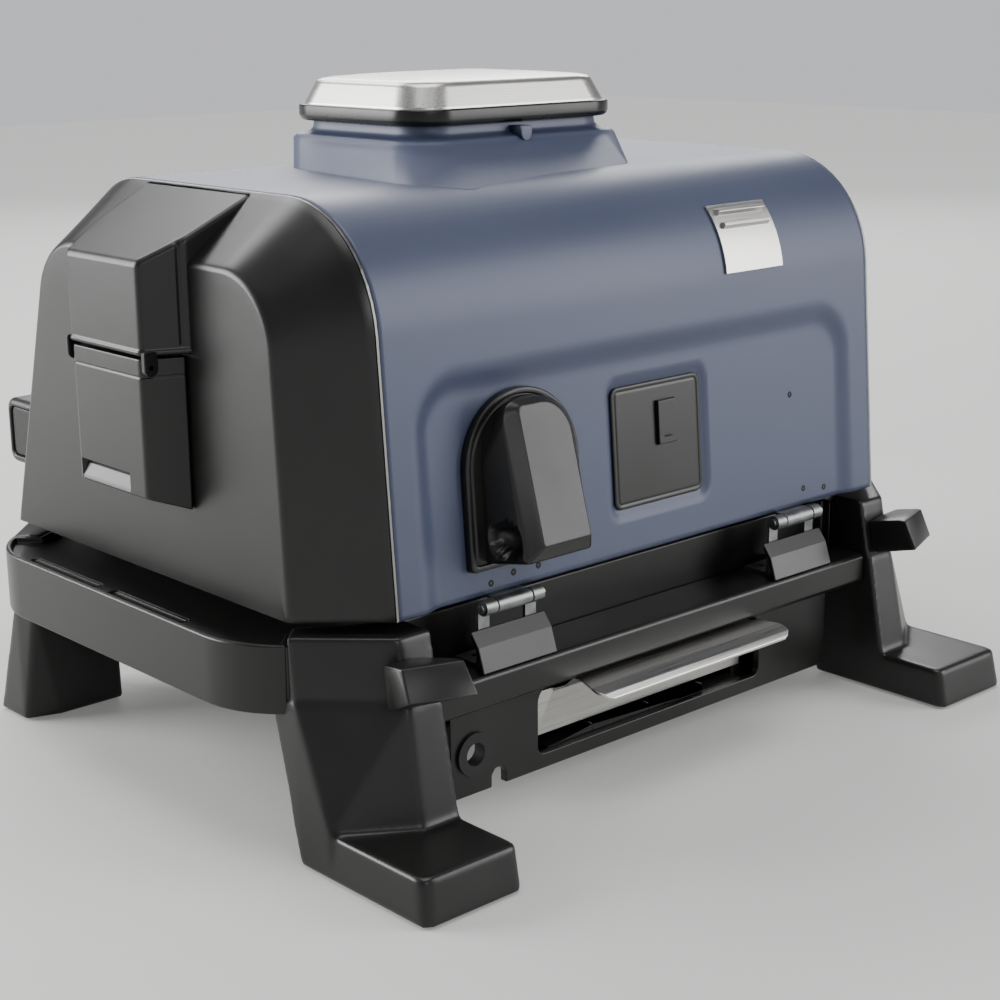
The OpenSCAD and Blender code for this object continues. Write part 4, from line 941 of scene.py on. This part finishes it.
SCREWS = [(-141, 80), (-153, 11), (-176, 8), (107, 9), (128, 9), (147, 6)]      # along the lid, up
HEAD = [(2.3, -0.9), (2.3, 0.1), (2.0, 0.45), (1.3, 0.6), (0.9, 0.55), (0.75, 0.1), (0.3, 0.0)]
SUNK = 0.2                            # millimetres that a head lies in the wall
angle = np.linspace(0, 2 * math.pi, 24, endpoint=False)
heads = []
for k, (x, up) in enumerate(SCREWS):
    floor_here = -float(pressed(np.array(x, float), np.array(up, float))) - SUNK
    heads.append(solid(f"rear_screw_{k}", [on_wall(x + r * np.cos(angle), up + r * np.sin(angle),
                                                   floor_here + out) for r, out in HEAD]))
show(heads[0], "lid_screws", MATERIALS["rubber"])
for head in heads[1:]:
    dress(head, "lid", "plated_steel", MATERIALS["rubber"])
print("square plate lies", round(-floor_out, 1), "mm down in the wall;", len(heads), "screws")

# %% [markdown]
# The legs are one moulding each: an upper block that carries on the deck's flat corner, a column
# that leans outwards, and a foot. Every part is the hull of a few corners, listed by height. A
# voxel remesh then fuses the hulls into one skin and a little smoothing melts the creases, so all
# inner and outer corners end with the two or three millimetre fillets that a mould needs. A bevel
# could not do this, since the hulls cut through each other at odd angles.

# %% Legs
VOXEL = 1.7          # millimetres of the remesh
MELT = 9             # rounds of smoothing: more of them make larger fillets


def hulls_of(name, hulls, mirror=1):
    """One mesh of convex hulls; each is a list of (height, plan outline) in millimetres."""
    work = bmesh.new()
    for levels in hulls:
        points = np.array([(x * mirror, y, z) for z, plan in levels for x, y in plan], float) * MM
        corners = [work.verts.new(point) for point in points]
        made = bmesh.ops.convex_hull(work, input=corners)
        loose = [g for g in made["geom_interior"] + made["geom_unused"]
                 if isinstance(g, bmesh.types.BMVert)]
        bmesh.ops.delete(work, geom=list(set(loose)), context="VERTS")
    bmesh.ops.recalc_face_normals(work, faces=work.faces)
    mesh = bpy.data.meshes.new(name)
    work.to_mesh(mesh)
    work.free()
    obj = bpy.data.objects.new(name, mesh)
    bpy.context.collection.objects.link(obj)
    return obj


def fuse(obj):
    """One skin over overlapping hulls, its creases melted."""
    skin = obj.modifiers.new("One skin", "REMESH")
    skin.mode = "VOXEL"
    skin.voxel_size = VOXEL * MM
    skin.use_smooth_shade = True
    soft = obj.modifiers.new("Fillets", "SMOOTH")
    soft.factor = 0.5
    soft.iterations = MELT
    return obj


CORNER = [(205.3, 180.3), (262.4, 147.0), (276.1, 160.9)]
BLOCK_TOP = CORNER + [(230.0, 207.0), (205.3, 207.0)]
BLOCK_LOW = CORNER + [(277.4, 168.4), (231.0, 216.0), (205.3, 217.0)]
KNEE = [(205.3, 152.0), (277.0, 146.0), (278.0, 168.4), (231.0, 216.5), (205.3, 217.0)]
ANKLE = [(205.3, 171.0), (279.6, 171.0), (279.0, 200.0), (234.0, 231.0), (205.3, 231.0)]
FOOT_LOW = outline([(279.8, 172.0), (279.8, 286.0), (205.3, 286.0), (205.3, 172.0)], [2, 7, 5, 1], 4)
FOOT_TOP = outline([(277.0, 175.0), (277.0, 281.0), (205.3, 281.0), (205.3, 175.0)], [2, 7, 5, 1], 4)
REAR = [[(91.7, BLOCK_LOW), (139.8, BLOCK_TOP)], [(91.7, KNEE), (100.0, KNEE), (27.0, ANKLE), (1.8, ANKLE)],
        [(1.6, FOOT_LOW), (28.8, FOOT_TOP)]]
FRONT_TOP = [(205.3, -207.0), (230.0, -207.0), (276.1, -160.9), (262.4, -147.0), (205.3, -180.3)]
FRONT_KNEE = [(205.3, -207.0), (230.0, -207.0), (276.4, -162.6), (272.4, -144.0), (205.3, -150.0)]
FRONT_FOOT = outline([(281.0, -188.0), (281.0, -152.0), (258.0, -144.0), (205.3, -144.0),
                      (205.3, -204.0), (240.0, -204.0)], [3, 3, 2, 2, 4, 4], 4)
FRONT = [[(91.0, FRONT_TOP), (134.8, FRONT_TOP)], [(1.6, FRONT_FOOT), (92.0, FRONT_KNEE)]]
for where, hulls in (("rear", REAR), ("front", FRONT)):
    for side, mirror in (("right", 1), ("left", -1)):
        show(fuse(hulls_of(f"leg_{where}_{side}_moulded", hulls, mirror)), f"leg_{where}_{side}")
print("legs: voxels of", VOXEL, "mm, smoothed", MELT, "times")

# %% [markdown]
# The hinge leaves are screwed to the inside of the rear wall. Where that wall is pressed in they
# follow it, so a copy of the leaves is stepped inwards above the lid's bottom edge. A deck corner
# and the leg under it are one surface on the real thing; a strip behind the joint closes the gap.

# %% Hinge leaves and corner fillers
SHEET = 2.5          # millimetres from the leaf's inner face that still belong to its plate
BELOW = 3.2          # millimetres under the lid's edge where the plate begins
CORNER_STRIP = [(268.5, 167.4), (281.8, 154.1), (279.6, 151.9), (266.3, 165.2)]     # plan, rear right

leaves = soften("hinge_leaves", 0.3)
spot = np.array([v.co for v in leaves.data.vertices])
plate = (spot[:, 2] > (LID_Z - BELOW) * MM) & (spot[:, 1] < spot[:, 1].min() + SHEET * MM)
step = DIP + POCKET + 1.0
spot[plate, 1] -= step * MM
leaves.data.vertices.foreach_set("co", spot.ravel())

for side, mirror in (("right", 1), ("left", -1)):
    for where, flip in (("rear", 1), ("front", -1)):
        plan = [(x, y * flip) for x, y in CORNER_STRIP]
        strip = hulls_of(f"corner_filler_{where}_{side}", [[(93.0, plan), (133.6, plan)]], mirror)
        dress(strip, "base", "charcoal_abs")
print("hinge leaves stepped in by", round(step, 1), "mm")

# %% [markdown]
# These parts keep the form that CAD gave them and only need the edges of their real material: a
# mould leaves one or two millimetres, a folded sheet a few tenths. The two cleats for the lead are
# built from long slanting faces that meet at slight angles; those must melt into one another, so
# their edges count as sharp only from 45 degrees on.

# %% Softened parts
EDGES = {  # millimetres of edge radius, by part
    "base_housing": 1.6, "rear_panel": 0.8, "rear_bar": 1.2,
    "cord_cleat_left": 1.0, "cord_cleat_right": 1.0, "hinge_cover_left": 0.9, "hinge_cover_right": 0.9,
    "control_panel": 1.0, "handle_standoffs": 1.2, "louvre_plate": 0.3,
    "grease_tray": 0.4, "mode_dial": 0.6,
}
SLANTING = ("cord_cleat_left", "cord_cleat_right")

for name, radius in EDGES.items():
    angles = {"angle": 45, "crease": 55} if name in SLANTING else {}
    soften(name, radius, **angles)
print(len(EDGES), "parts softened")

# %% [markdown]
# Every CAD part that still shows gets its finish from the record's own list, so that nothing is
# left plain. Its triangles stay as they are; only smooth shading across shallow angles would need a
# copy, and these parts are the ones inside the oven, under the deck or too small to need one.

# %% Finishes for the parts shown as they are
for name, node in frame["nodes"].items():
    if not node.hide_render:
        node.data.materials.clear()
        node.data.materials.append(MATERIALS[slot_of[name]])
print(sum(not n.hide_render for n in frame["nodes"].values()), "CAD parts shown as they are")
